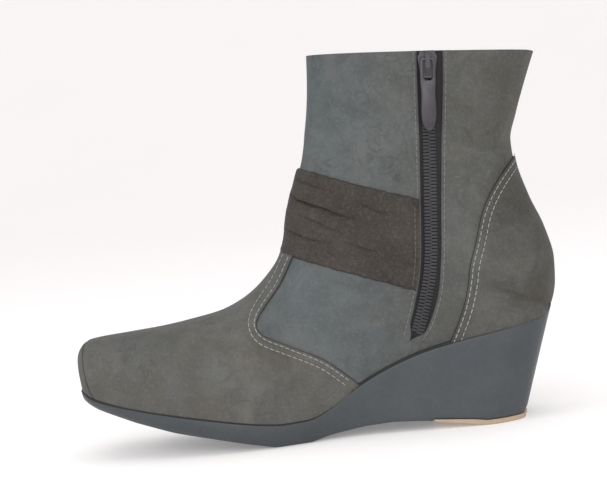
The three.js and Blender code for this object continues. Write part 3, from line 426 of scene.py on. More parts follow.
def nappedGroup():  # brushed leather: cloudy nap, fine pores, soft scuffs and rubbed edges; painted shade along the folds and in crease troughs; cut edges darkened, partly as painted shade; a painted lighter, bluer tone towards the front
    tree, inside, outside = newGroup(
        "brushedLeather",
        {"Base": None, "Cool": None, "Rubbed": None, "Cloud": 0.6, "Pores": 0.5, "Scuff": 0.4,
         "Folds": 0.5, "FrontLight": 0.0},
        ("Color", "Height", "Roughness"))
    place = tree.nodes.new("ShaderNodeTexCoord").outputs["Object"]
    broad = noiseNode(tree, place, 21.0, 4.0, 0.6, 0.4)
    along = addNode(tree, "ShaderNodeSeparateXYZ", {0: place}).outputs[0]
    # painted light: the tone turns lighter and bluer towards the front
    frontLightTone = times(tree, spread(tree, along, 0.105, 0.0, 0.0, 1.0), inside.outputs["FrontLight"])
    middle = noiseNode(tree, place, 95.0, 4.0, 0.65, 0.6)
    fine = noiseNode(tree, place, 620.0, 3.0, 0.7)
    cells = addNode(tree, "ShaderNodeTexVoronoi", {"Vector": place, "Scale": 900.0, "Randomness": 1.0},
                    feature="F1").outputs["Distance"]
    cloud = times(tree, spread(tree, broad, 0.36, 0.66), inside.outputs["Cloud"])
    cloud = mathNode(tree, "MINIMUM", plus(tree, cloud, frontLightTone), 1.0)
    tone = mixColour(tree, cloud, inside.outputs["Base"], inside.outputs["Cool"])
    patch = spread(tree, noiseNode(tree, place, 38.0, 3.0, 0.6, 0.8), 0.46, 0.70, 0.0, 0.20)
    tone = mixColour(tree, patch, tone, inside.outputs["Rubbed"])
    streak = spread(tree, middle, 0.38, 0.66, 0.0, 0.62)
    darker = mixColour(tree, streak, tone, (0.62, 0.62, 0.61, 1.0), "MULTIPLY")
    speck = spread(tree, fine, 0.50, 0.74, 0.0, 1.0)
    speck = times(tree, speck, inside.outputs["Scuff"])
    edge = addNode(tree, "ShaderNodeAttribute", attribute_name="rim").outputs["Fac"]
    rub = times(tree, edge, spread(tree, middle, 0.35, 0.6, 0.05, 0.45))
    edgeAndCreaseShade = times(tree, larger(tree, times(tree, edge, -1.0), 0.0), 0.85)  # negative rim: dark cut edges and crease troughs, painted shade
    wear = larger(tree, speck, rub)
    folds = noiseNode(tree, place, 62.0, 2.0, 0.5, 1.4)
    folds = mathNode(tree, "ABSOLUTE", minus(tree, folds, 0.5))
    folds = times(tree, spread(tree, folds, 0.0, 0.035, 1.0, 0.0),
                     spread(tree, noiseNode(tree, place, 17.0, 2.0, 0.5), 0.47, 0.60))
    folds = times(tree, folds, inside.outputs["Folds"])
    # painted shade: the fold lines are darkened
    foldShade = mixColour(tree, 1.0, darker, (0.70, 0.70, 0.70, 1.0), "MULTIPLY")
    darker = mixColour(tree, folds, darker, foldShade)
    wornAndShaded = mixColour(tree, wear, darker, inside.outputs["Rubbed"])
    wornAndShaded = mixColour(tree, edgeAndCreaseShade, wornAndShaded, (0.012, 0.011, 0.010, 1.0))
    low = minus(tree, times(tree, middle, 0.7), times(tree, folds, 0.5))
    grain = times(tree, minus(tree, fine, times(tree, cells, 0.8)),
                     inside.outputs["Pores"])
    tree.links.new(wornAndShaded, outside.inputs["Color"])
    tree.links.new(plus(tree, low, grain), outside.inputs["Height"])
    rough = spread(tree, plus(tree, middle, times(tree, fine, 0.5)), 0.4, 1.1, 0.78, 0.60)
    tree.links.new(rough, outside.inputs["Roughness"])
    return tree


def weaveGroup():  # two sets of threads over each other, along the piece's own UV map
    tree, inside, outside = newGroup(
        "threadWeave",
        {"Base": None, "Shade": None, "Along": 1.0, "Across": 1.0, "Fuzz": 0.3},
        ("Color", "Height"))
    uv = tree.nodes.new("ShaderNodeTexCoord").outputs["UV"]
    parts = addNode(tree, "ShaderNodeSeparateXYZ", {0: uv})
    first = mathNode(tree, "SINE", times(tree, parts.outputs[0], inside.outputs["Along"]))
    second = mathNode(tree, "SINE", times(tree, parts.outputs[1], inside.outputs["Across"]))
    knot = spread(tree, times(tree, first, second), -1.0, 1.0)
    fuzz = noiseNode(tree, tree.nodes.new("ShaderNodeTexCoord").outputs["Object"], 700.0, 3.0, 0.7)
    height = plus(tree, knot, times(tree, fuzz, inside.outputs["Fuzz"]))
    shade = spread(tree, height, 0.1, 1.1)
    tone = mixColour(tree, shade, inside.outputs["Shade"], inside.outputs["Base"])
    tree.links.new(tone, outside.inputs["Color"])
    tree.links.new(height, outside.inputs["Height"])
    return tree


def speckGroup():  # fine dust and small scratches; on the gold these patches are painted dark reflections
    tree, inside, outside = newGroup(
        "dustScratchesAndReflection",
        {"Base": None, "DustAndReflection": None, "Amount": 0.3, "Grain": 400.0, "Smooth": 0.3, "Rough": 0.6},
        ("Color", "Height", "Roughness"))
    place = tree.nodes.new("ShaderNodeTexCoord").outputs["Object"]
    broad = noiseNode(tree, place, 34.0, 4.0, 0.65, 0.3)
    fine = noiseNode(tree, place, inside.outputs["Grain"], 4.0, 0.7)
    stretched = addNode(tree, "ShaderNodeMapping", {"Vector": place, "Scale": (60.0, 60.0, 520.0)}).outputs[0]
    scratch = spread(tree, noiseNode(tree, stretched, 1.0, 2.0, 0.5), 0.66, 0.72, 0.0, 0.6)
    dustAndReflection = spread(tree, plus(tree, broad, times(tree, fine, 0.5)), 0.6, 1.0)
    dustAndReflection = times(tree, dustAndReflection, inside.outputs["Amount"])
    total = larger(tree, dustAndReflection, times(tree, scratch, inside.outputs["Amount"]))
    tone = mixColour(tree, total, inside.outputs["Base"], inside.outputs["DustAndReflection"])
    tree.links.new(tone, outside.inputs["Color"])
    tree.links.new(fine, outside.inputs["Height"])
    rough = spread(tree, broad, 0.3, 0.7, inside.outputs["Smooth"], inside.outputs["Rough"])
    tree.links.new(rough, outside.inputs["Roughness"])
    return tree


groups = {"leather": nappedGroup(), "weave": weaveGroup(), "specks": speckGroup()}


def newMaterial(name, group, values, bump, bumpDepth, **shader):
    material = bpy.data.materials.new(name)
    material.use_nodes = True
    tree = material.node_tree
    surface = tree.nodes["Principled BSDF"]
    effect = tree.nodes.new("ShaderNodeGroup")
    effect.node_tree = groups[group]
    for key, value in values.items():
        effect.inputs[key].default_value = value
    tree.links.new(effect.outputs["Color"], surface.inputs["Base Color"])
    if "Roughness" in effect.outputs:
        tree.links.new(effect.outputs["Roughness"], surface.inputs["Roughness"])
    relief = addNode(tree, "ShaderNodeBump", {"Strength": bump, "Distance": bumpDepth * mm,
                                              "Height": effect.outputs["Height"]})
    tree.links.new(relief.outputs["Normal"], surface.inputs["Normal"])
    for key, value in shader.items():
        surface.inputs[key.replace("_", " ")].default_value = value
    return material


leatherLook = {"Base": colour(80, 77, 69), "Cool": colour(82, 86, 89), "Rubbed": colour(120, 118, 112)}
finishes = {
    "vamp": newMaterial("brushedVamp", "leather",
                        dict(leatherLook, Cloud=0.55, Pores=0.5, Scuff=0.22, Folds=0.8), 0.6, 0.4),
    # The shaft is painted lighter and bluer towards the front and darker olive towards the rear, as light and
    # shade
    "quarter": newMaterial("brushedShaft", "leather",
                           dict(leatherLook, Base=colour(67, 64, 55), Cool=colour(79, 86, 88), Cloud=0.35,
                                Pores=0.5, Scuff=0.22, Folds=0.9, FrontLight=0.8), 0.6, 0.4),
    "counter": newMaterial("brushedCounter", "leather",
                           dict(leatherLook, Base=colour(64, 61, 54), Cool=colour(76, 79, 79), Cloud=0.5,
                                Pores=0.5, Scuff=0.2), 0.55, 0.35),
    "strap": newMaterial("brushedStrap", "leather",
                         dict(leatherLook, Base=colour(86, 87, 88), Cloud=0.9, Pores=0.5, Scuff=0.2),
                         0.5, 0.3),
    "suede": newMaterial("gatheredSuede", "leather",
                         {"Base": colour(38, 31, 26), "Cool": colour(58, 52, 45),
                          "Rubbed": colour(98, 90, 80), "Cloud": 0.9, "Pores": 1.3, "Scuff": 0.36}, 0.9, 0.6),
    "tape": newMaterial("zipTape", "weave",
                        {"Base": colour(40, 38, 42), "Shade": colour(18, 17, 19), "Along": 3900.0,
                         "Across": 3900.0, "Fuzz": 0.35}, 0.7, 0.2, Roughness=0.85),
    "gusset": newMaterial("gussetCloth", "weave",
                          {"Base": colour(96, 52, 54), "Shade": colour(48, 25, 30), "Along": 3300.0,
                           "Across": 3300.0, "Fuzz": 0.5}, 0.7, 0.25, Roughness=0.88),
}
dusted = {  # name, base, dust (on the gold: painted dark reflections), amount of dust, grain, smooth to rough, strength and depth of the bump
    "rubber": ("mouldedWedge", (54, 59, 63), (92, 95, 95), 0.28, 520.0, 0.42, 0.6, 0.35, 0.12),
    # A dark tube stands in for the shade in the gap between upper and sole
    "gapShadeDark": ("paintedGapShade", (20, 20, 20), (44, 44, 43), 0.4, 700.0, 0.6, 0.85, 0.4, 0.1),
    "lift": ("heelLift", (182, 160, 136), (120, 104, 88), 0.4, 600.0, 0.5, 0.75, 0.4, 0.15),
    "lining": ("liningFelt", (40, 36, 38), (70, 62, 62), 0.4, 900.0, 0.85, 0.95, 0.6, 0.25),
    "footbed": ("footbedFelt", (52, 48, 49), (86, 80, 78), 0.4, 800.0, 0.8, 0.95, 0.6, 0.25),
    "thread": ("paleThread", (156, 156, 151), (116, 115, 111), 0.5, 1500.0, 0.55, 0.75, 0.5, 0.08),
    "greyThread": ("greyThread", (114, 114, 110), (88, 86, 82), 0.5, 1500.0, 0.55, 0.75, 0.5, 0.08),
    "darkThread": ("darkThread", (92, 87, 80), (70, 66, 62), 0.5, 1500.0, 0.55, 0.75, 0.5, 0.08),
    "teeth": ("zipTeeth", (36, 34, 38), (68, 66, 70), 0.5, 900.0, 0.38, 0.55, 0.3, 0.05),
    "darkMetal": ("blackenedMetal", (66, 64, 68), (112, 108, 106), 0.35, 700.0, 0.32, 0.5, 0.2, 0.04),
    # On the gold, the dark dust patches are painted dark reflections
    "gold": ("polishedGold", (242, 222, 160), (140, 104, 50), 0.8, 260.0, 0.08, 0.22, 0.35, 0.12),
    "paleMetal": ("paleGoldWire", (232, 222, 198), (178, 164, 136), 0.35, 500.0, 0.16, 0.32, 0.12, 0.03),
}
shine = {"teeth": {"Specular_IOR_Level": 0.35}, "darkMetal": {"Metallic": 0.75}, "gold": {"Metallic": 1.0},
         "paleMetal": {"Metallic": 0.85}}
for key, (name, base, dustAndReflection, amount, grain, smooth, rough, bump, depth) in dusted.items():
    look = {"Base": colour(*base), "DustAndReflection": colour(*dustAndReflection), "Amount": amount, "Grain": grain,
            "Smooth": smooth, "Rough": rough}
    finishes[key] = newMaterial(name, "specks", look, bump, depth, **shine.get(key, {}))
print("materials:", len(finishes))


# Seams in the side view, in millimetres from the toe and from the floor
seams = {
    "toe": [(4.7, 73.3), (4.7, 57), (5.4, 47.8), (7.2, 38.7), (9.4, 33.6), (11.7, 28.5)],
    "vampMedial": [(120.8, 98.1), (112.4, 84.0), (102.9, 72.9), (98.4, 65.7), (101.4, 59.8),
                   (113.9, 53.1), (131.0, 44.2), (141.7, 35.4), (149.0, 28.1), (156.0, 18.3)],
    "vampLateral": [(131.0, 103.0), (116.0, 84.0), (105.0, 69.0), (100.9, 61.1), (103.0, 53.5),
                    (112.1, 48.0), (131.0, 43.1), (143.0, 36.4), (153.9, 29.1), (161.2, 18.3)],
    "counterMedial": [(247.0, 142.5), (243.1, 140.0), (230.9, 127.6), (222.0, 113.6), (216.3, 96.7),
                      (212.4, 85.9), (210.1, 75.1), (205.9, 62.1), (198.1, 46.0), (192.4, 36.6)],
    "counterLateral": [(247.0, 143.5), (243.9, 141.0), (234.5, 129.6), (224.4, 112.9), (219.4, 99.9),
                       (214.5, 82.0), (212.4, 65.9), (208.0, 52.1), (203.1, 46.0), (197.6, 36.6)],
    "slotFront": [(197.1, 213.7), (195.8, 203.1), (194.2, 180.1), (192.4, 150.0), (190.1, 120.1),
                  (187.2, 89.9), (182.5, 70.0), (175.8, 50.5), (174.6, 47.5)],
    "slotRear": [(210.1, 213.7), (209.0, 203.1), (207.0, 180.1), (203.8, 150.0), (200.7, 120.1),
                 (197.6, 89.9), (193.7, 70.0), (186.2, 53.5), (179.5, 48.0), (175.2, 47.2)],
    "bandMedialTop": [(104.0, 150.6), (126.6, 144.5), (139.9, 140.0), (159.9, 132.5), (196.0, 120.4)],
    "bandMedialBottom": [(104.0, 101.8), (113.9, 99.9), (131.0, 94.0), (159.9, 83.6), (190.0, 72.6)],
    "bandLateralTop": [(104.0, 150.6), (126.6, 144.9), (139.9, 137.4), (150.0, 132.3), (159.9, 123.5),
                       (170.0, 110.9), (182.0, 107.0), (234.0, 105.8)],
    "bandLateralBottom": [(104.0, 101.8), (131.0, 98.9), (150.0, 95.6), (170.0, 91.2), (183.0, 85.9),
                          (195.0, 76.3), (211.6, 63.5), (234.0, 48.8)],
}


def sideCurve(points, side, count, lowest=0.0):  # smooth seam in u and w
    line = smoothLine(points, count)
    u, w = skinPlace(line[:, 0], line[:, 1], side, lowest)
    return np.stack([u, w], axis=1)


def seamAtGirth(points, side, w):  # u of a seam that crosses the boot, at each w
    curve = sideCurve(points, side, 240)
    order = np.argsort(curve[:, 1])
    return np.interp(w, curve[order, 1], curve[order, 0])


def seamAtRow(points, side, u):  # w of a seam that runs up the boot, at each u
    curve = sideCurve(points, side, 240, 4.0)
    order = np.argsort(curve[:, 0])
    return np.interp(u, curve[order, 0], curve[order, 1])


# Quarters and shaft: the lasted upper under every overlay, folded over at the collar and at both slots
shaft = {
    "rowStep": 1.9, "rimRound": 0.8, "thickness": 1.2, "slotFoot": 15.95, "slitHalf": 6.2,
    "slitX": 203.6, "slitTopZ": 214, "slitFootX": 201.8, "slitFootZ": 157.9, "rimRow": 12.7,
}  # rimRow: millimetres to a row at the collar


def rowPlaces(step, first=0.0, final=None):
    final = lastRow if final is None else final
    fine = np.linspace(first, final, 900)
    back, ridge = barePoint(fine, np.zeros_like(fine)), barePoint(fine, np.ones_like(fine))
    pace = [np.linalg.norm(np.diff(line, axis=0), axis=1) for line in (back, ridge)]
    travel = np.concatenate([[0], np.cumsum(np.maximum(*pace))])
    return np.interp(np.linspace(0, travel[-1], int(travel[-1] / step) + 1), travel, fine)


def slotEdges(u):  # w of the zip slot's two edges on each row; they meet under the slot
    front = seamAtRow(seams["slotFront"], -1, u)
    rear = seamAtRow(seams["slotRear"], -1, u)
    meet = seamAtRow(seams["slotFront"], -1, np.array([shaft["slotFoot"]]))[0]
    closing = np.clip((u - shaft["slotFoot"]) / 0.45, 0, 1)
    middle = np.where(u < shaft["slotFoot"], meet, (front + rear) / 2)
    return middle + (front - middle) * closing, middle + (rear - middle) * closing


def slitEdges(u):  # w of the gusset slit's two edges on each row; they meet at its foot
    high = np.linspace(0, 1, 60)
    x = shaft["slitFootX"] + (shaft["slitX"] - shaft["slitFootX"]) * high
    z = shaft["slitFootZ"] + (shaft["slitTopZ"] - shaft["slitFootZ"]) * high
    middleU, middleW = skinPlace(x, z, 1, 20)
    frontU, frontW = skinPlace(x - shaft["slitHalf"] * high, z, 1, 20)
    rearU, rearW = skinPlace(x + shaft["slitHalf"] * high, z, 1, 20)
    foot = middleU[0]
    middle = np.interp(u, middleU, middleW)
    wide = np.clip((u - foot) / 0.02, 0, 1)
    front = middle + (np.interp(u, frontU, frontW) - middle) * wide
    return front, middle + (np.interp(u, rearU, rearW) - middle) * wide, foot


def lastedUpper():
    rows = rowPlaces(shaft["rowStep"])
    extra = np.array([shaft["slotFoot"], shaft["slotFoot"] + 0.1, shaft["slotFoot"] + 0.2])
    rows = np.unique(np.concatenate([rows, extra, [lastRow - 0.012, lastRow - 0.03, lastRow - 0.06]]))
    slotFront, slotRear = slotEdges(rows)
    slitFront, slitRear, slitFoot = slitEdges(rows)
    insets = [0, 0.12, 0.35, 0.8, 1.6, 2.2, 2.9, 4.5]
    seamEdge = [0, 0.5, 1.5]
    pieces = []
    rim = rolled((lastRow - rows) * shaft["rimRow"], shaft["rimRound"])[:, None]
    slotOpen = np.clip((rows - shaft["slotFoot"]) / 0.3, 0, 1)[:, None]
    slitOpen = np.clip((rows - slitFoot) / 0.3, 0, 1)[:, None]
    whole = np.zeros_like(slotOpen)
    panels = [(slotFront, slitFront, insets, insets, 100, slotOpen, slitOpen),
              (np.zeros_like(rows), slotRear, seamEdge, insets, 34, whole, slotOpen),
              (slitRear, np.full_like(rows, 2.0), insets, seamEdge, 34, slitOpen, whole)]
    for edgeA, edgeB, insetA, insetB, steps, openA, openB in panels:
        edgeA, edgeB = np.stack([rows, edgeA], 1), np.stack([rows, edgeB], 1)
        grid, fromA, fromB = ruledGrid(edgeA, edgeB, insetA, insetB, steps)
        roll = np.minimum(rim, 1 - openA * (1 - rolled(fromA, shaft["rimRound"])))
        roll = np.minimum(roll, 1 - openB * (1 - rolled(fromB, shaft["rimRound"])))
        top = skinPoint(grid[..., 0], grid[..., 1], (roll - 1) * shaft["thickness"] * 0.6)
        under = skinPoint(grid[..., 0], grid[..., 1], -shaft["thickness"] + 0 * roll)
        pieces.append((top, under))
    vertices, faces = layered(pieces)
    return addMesh("lasted_upper", vertices, faces, finishes["quarter"])


def finishPiece(piece, body, slotName, *nodes):
    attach(piece, body)
    if nodes:
        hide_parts(*nodes)
    return piece


lastedPiece = finishPiece(lastedUpper(), "boot", "leather", "upper")
print("lasted upper:", len(lastedPiece.data.polygons), "faces")


# Overlays: their lower side lies on the upper, their cut edges are rounded and pulled down by the stitching
overlay = {"base": 0.12, "thickness": 1.15, "round": 1.0, "stitchRows": (1.7, 4.8), "dip": 0.30,
           "sunk": 0.10, "bandCover": 0.85}
edgeInsets = [0, 0.08, 0.25, 0.55, 1.0, 1.35, 1.7, 2.1, 3.1, 4.3, 4.8, 5.3, 6.6]
plainInsets = [0, 0.5, 1.5]


def overlayGrids(grid, free, thickness=overlay["thickness"], base=overlay["base"], lift=0.0):
    top = skinPoint(grid[..., 0], grid[..., 1], base + thickness * free + lift)
    under = skinPoint(grid[..., 0], grid[..., 1], base - overlay["sunk"] + 0 * free)
    return top, under


def underBand(points, side):  # 1 where the gathered band covers a point by a few millimetres
    name = "bandMedialBottom" if side < 0 else "bandLateralBottom"
    line = smoothLine(seams[name], 120)
    rise = points[..., 2] - np.interp(points[..., 0] + halfFoot, line[:, 0], line[:, 1])
    return np.clip((rise - 1.2) / 2.0, 0, 1)


vampTop = {-1: [(16.2, 0.862), (16.9, 0.93), (17.2, 1.0)], 1: [(17.4, 0.78), (17.4, 0.90), (17.2, 1.0)]}


# Toe seam and cut edge as two rows of points that belong together, from the sole to the ridge
def vampEdges(side):
    line = smoothLine(seams["vampMedial" if side < 0 else "vampLateral"][::-1], 200)
    u, w = skinPlace(line[:, 0], line[:, 1], side, 4.0)
    share = w if side < 0 else 2 - w
    kept = share > 0.001
    path = np.vstack([[(u[kept][0] + 0.02, 0.0)], np.stack([u[kept], share[kept]], 1)])
    path = np.vstack([path, smoothLine([path[-1]] + vampTop[side], 30)[1:]])
    solid = barePoint(path[:, 0], path[:, 1] if side < 0 else 2 - path[:, 1])
    travel = travelled(solid)
    at = np.linspace(0, travel[-1], 120)
    edge = pickAt(at, travel, path)
    toeShare = 0.55 * edge[:, 1] + 0.45 * at / travel[-1]
    toeShare = np.maximum.accumulate(toeShare)
    if side > 0:
        edge[:, 1], toeShare = 2 - edge[:, 1], 2 - toeShare
    return np.stack([seamAtGirth(seams["toe"], side, toeShare), toeShare], 1), edge


def sideDistance(points, name):  # distance in the side view from each point to a seam
    line = smoothLine(seams[name], 420)
    flat = np.stack([points[..., 0] + halfFoot, points[..., 2]], axis=-1)
    return np.stack([np.linalg.norm(row[:, None] - line[None], axis=2).min(axis=1) for row in flat])


def vampPiece():
    grids, distances = [], []
    for side in (-1, 1):
        toe, edge = vampEdges(side)
        grid, fromToe, fromEdge = ruledGrid(toe, edge, plainInsets, edgeInsets, 66)
        points = barePoint(grid[..., 0], grid[..., 1])
        fromEdge = sideDistance(points, "vampMedial" if side < 0 else "vampLateral")
        free = rolled(fromEdge, overlay["round"]) + groove(fromEdge, overlay["stitchRows"], overlay["dip"])
        cover = underBand(points, side)
        free = np.maximum(free, 0) * rolled(fromToe + 0.02, 0.8) * (1 - overlay["bandCover"] * cover)
        grids.append(overlayGrids(grid, free))
        distances.append(np.minimum(fromEdge, fromToe * 3))
    vertices, faces = layered(grids)
    return addMesh("vamp_panel", vertices, faces, finishes["vamp"], rim=darkEdgeAndShade(distances))


def toeGuard():
    girth = [np.linspace(0, 1, 60), np.linspace(0.0, 0.04, 4), np.linspace(0.97, 1.0, 4)]
    girth = np.unique(np.concatenate(girth))
    grids = []
    for side in (-1, 1):
        w = girth if side < 0 else 2 - girth
        edge = seamAtGirth(seams["toe"], side, w)
        tip = np.stack([np.full_like(w, 0.02), w], 1)
        grid, _, fromEdge = ruledGrid(tip, np.stack([edge, w], 1), [0, 0.3], plainInsets, 14)
        grids.append(overlayGrids(grid, rolled(fromEdge + 0.02, 0.8)))
    vertices, faces = layered(grids)
    return addMesh("toe_guard", vertices, faces, finishes["vamp"], merge=0.06)


def counterPiece():
    grids, distances = [], []
    for side, name in ((-1, "counterMedial"), (1, "counterLateral")):
        curve = sideCurve(seams[name], side, 300, 12.0)
        inner = curve[:, 1] if side < 0 else 2 - curve[:, 1]
        rows = rowPlaces(1.8, 16.3, 27.0)
        order = np.argsort(curve[:, 0])
        reach = np.interp(rows, curve[order, 0], inner[order])
        kept = reach > 0.004
        rows, reach = rows[kept], reach[kept]
        back = np.stack([rows, np.full_like(rows, 0 if side < 0 else 2)], 1)
        front = np.stack([rows, reach if side < 0 else 2 - reach], 1)
        grid, _, fromEdge = ruledGrid(back, front, plainInsets, edgeInsets, 40)
        free = rolled(fromEdge, overlay["round"]) + groove(fromEdge, overlay["stitchRows"], overlay["dip"])
        grids.append(overlayGrids(grid, np.maximum(free, 0)))
        distances.append(fromEdge)
    vertices, faces = layered(grids)
    return addMesh("heel_counter", vertices, faces, finishes["counter"], rim=darkEdgeAndShade(distances))


vampPanel = finishPiece(vampPiece(), "boot", "leather", "vamp")
toePanel = finishPiece(toeGuard(), "boot", "leather", "toe_piece")
counterPanel = finishPiece(counterPiece(), "boot", "leather", "counter")
print("overlays:", [len(p.data.polygons) for p in (vampPanel, toePanel, counterPanel)])


# Gathered band over the instep, from the zip to the lateral counter
gathered = {"base": 0.14, "thickness": 1.3, "round": 1.1, "samples": 190, "rows": 76, "ridgeShare": 0.46,
            "loopX": 171.0, "pleatDepth": 1.25, "pleats": 6.5, "finePleats": 11.5, "ragged": 0.035,
            "foldSteps": 60, "sewnInset": 3.2, "sewnTopZ": 119.5, "sewnFootZ": 77.5,
            "folds": [(1.5, [(124, 130), (131, 125.7), (140, 122), (149, 117.6), (160, 114.0)]),
                      (0.8, [(120, 112), (130, 107), (142, 104)]),
                      (0.7, [(127, 139), (136, 134), (146, 131)]),
                      (0.5, [(148, 104), (160, 99), (172, 96)]),
                      (0.6, [(158, 124), (168, 118), (180, 115)]),
                      (0.5, [(126, 120), (134, 116), (145, 110), (152, 109)])]}


def bandEdges():  # lower and upper edge, each from the zip over the ridge to the counter
    shares = np.linspace(0, 1, gathered["samples"])
    split = gathered["ridgeShare"]
    edges = []
    for level in ("Bottom", "Top"):
        medial = sideCurve(seams["bandMedial" + level], -1, 260, 8.0)
        lateral = sideCurve(seams["bandLateral" + level], 1, 260, 8.0)
        medial = medial[medial[:, 1] < 0.9995][::-1]
        lateral = lateral[lateral[:, 1] > 1.0005]
        ridge = np.array([[(medial[-1, 0] + lateral[0, 0]) / 2, 1.0]])
        whole = np.vstack([medial, ridge, lateral])
        travel = travelled(barePoint(whole[:, 0], whole[:, 1]))
        atRidge = travel[len(medial)]
        at = np.where(shares < split, shares / split * atRidge,
                      atRidge + (shares - split) / (1 - split) * (travel[-1] - atRidge))
        edges.append(pickAt(at, travel, whole))
    return edges


# Folds that fan from the loop on the lateral side, and soft folds on the medial side: lift, and painted shade
# in the crease troughs
def bandPleats(points, across):
    x = points[..., 0] + halfFoot
    y, z = points[..., 1], points[..., 2]
    near = np.abs(x - gathered["loopX"])
    lateral = np.clip(y / 10, 0, 1)
    reach = np.where(x > gathered["loopX"], 2.2, 1.0)  # the creases run on to the counter
    fade = np.exp(-(near / 46 / reach) ** 2) * (0.35 + 0.65 * np.exp(-(near / 26 / reach) ** 2))
    bend = 0.35 * np.sin(x / 11.0) + 0.5 * np.sin(x / 23.0 + across * 4)
    wave = np.sin((across + 0.03 * bend) * math.pi * 2 * gathered["pleats"] + bend)
    second = np.sin(across * math.pi * 2 * gathered["finePleats"] + 1.3 + bend * 1.7)
    crease = np.exp(-((1 + wave) / 0.30) ** 2)
    lift = lateral * fade * gathered["pleatDepth"] * (0.55 * wave + 0.35 * second - 0.7 * crease)
    mild = 0.16 * np.sin(across * math.pi * 2 * 3.0 + x / 14.0) * np.exp(-((x - 128) / 16) ** 2)
    flat = np.stack([x, z], axis=-1).reshape(-1, 2)
    ledge, shade = np.zeros(len(flat)), np.zeros(len(flat))
    for depth, line in gathered["folds"]:
        fold = smoothLine(line, gathered["foldSteps"])
        apart = flat[:, None] - fold[None]
        gap = np.linalg.norm(apart, axis=2)
        close = np.argmin(gap, axis=1)
        nearest = np.arange(len(flat))
        strength = depth * np.interp(close / (gathered["foldSteps"] - 1), [0, 0.1, 0.6, 1], [0.5, 1, 0.8, 0])
        above = apart[nearest, close, 1] > 0
        gap = gap[nearest, close]
        ledge += strength * np.where(above, np.exp(-(gap / 5.0) ** 2), -0.5 * np.exp(-(gap / 1.1) ** 2))
        shade += strength * np.exp(-(gap / 0.7) ** 2)
    medial = np.clip(-y / 6, 0, 1)
    creaseShade = np.clip(0.9 * crease * fade * lateral + 0.5 * shade.reshape(x.shape) * medial, 0, 0.75)
    return lift + mild + ledge.reshape(x.shape) * medial, creaseShade


def gatheredBand():
    bottom, top = bandEdges()
    steps = np.arange(gathered["samples"])
    for edge, phase in ((bottom, 0.0), (top, 2.0)):  # torn-looking cut edges
        wander = np.sin(steps * 0.9 + phase) + np.sin(steps * 2.3 + 2 * phase) + np.sin(steps * 0.37 + phase)
        edge[:, 0] += gathered["ragged"] * wander * 0.35
    nearEdges = [0.004, 0.012, 0.025, 0.975, 0.988, 0.996]
    share = np.unique(np.concatenate([np.linspace(0, 1, gathered["rows"]), nearEdges]))
    grid = bottom[:, None] * (1 - share[None, :, None]) + top[:, None] * share[None, :, None]
    zipSide = seamAtRow(seams["slotFront"], -1, grid[..., 0])
    heelSide = seamAtRow(seams["counterLateral"], 1, grid[..., 0])
    grid[..., 1] = np.clip(grid[..., 1], zipSide + 0.004, heelSide - 0.003)
    points = barePoint(grid[..., 0], grid[..., 1])
    wide = np.linalg.norm(np.diff(points, axis=1), axis=2).sum(axis=1)[:, None]
    fromBottom, fromTop = share * wide, (1 - share) * wide
    alongStep = np.linalg.norm(np.diff(points, axis=0), axis=2)
    travel = np.concatenate([np.zeros((1, points.shape[1])), np.cumsum(alongStep, axis=0)])
    fromZip, fromCounter = travel, travel[-1] - travel
    edge = np.minimum(np.minimum(fromBottom, fromTop), fromZip)
    free = rolled(edge, gathered["round"]) + groove(fromZip, (gathered["sewnInset"],), 0.25, 0.6)
    free = np.maximum(free, 0) * rolled(fromCounter + 0.4, 0.8)
    pleat, creaseShade = bandPleats(points, share[None] + 0 * wide)
    pleat = pleat * np.clip(fromZip / 6, 0, 1)
    ragged = 0.25 * np.sin(travel * 1.1) * np.exp(-(np.minimum(fromBottom, fromTop) / 2) ** 2)
    lift = np.maximum(pleat + ragged, -0.8 * gathered["thickness"]) * rolled(edge, 2.5)
    top, under = overlayGrids(grid, free, gathered["thickness"], gathered["base"], lift)
    vertices, faces = layered([(top, under)])
    # painted shade in the crease troughs, as a negative rim
    piece = addMesh("gathered_band", vertices, faces, finishes["suede"], rim=-np.tile(creaseShade.ravel(), 2))
    size = [float(wide.max()) * mm, float(travel[-1].max()) * mm]
    return piece, size


bandPanel, bandSize = gatheredBand()
finishPiece(bandPanel, "boot", "suede", "band")
print("band cut:", [round(v, 4) for v in bandSize])


# Straps: cut leather strips over the lateral side
loopStrap = {"topX": 178.9, "topZ": 113.1, "footX": 172.9, "footZ": 67.5, "width": 14.0, "thickness": 1.9,
             "base": 0.3, "rise": 1.75, "climb": 2.5, "bandTopZ": 110.5, "bandFootZ": 76.5}
topStrap = {"frontX": 166.9, "rearX": 243.1, "dropZ": 177.5, "slope": 0.052, "width": 13.5, "thickness": 1.8,
            "base": 0.3}
strip = {"round": 0.9, "step": 1.3, "inset": 1.9, "dip": 0.12, "cornerCut": 0.108, "pointReach": 0.9}


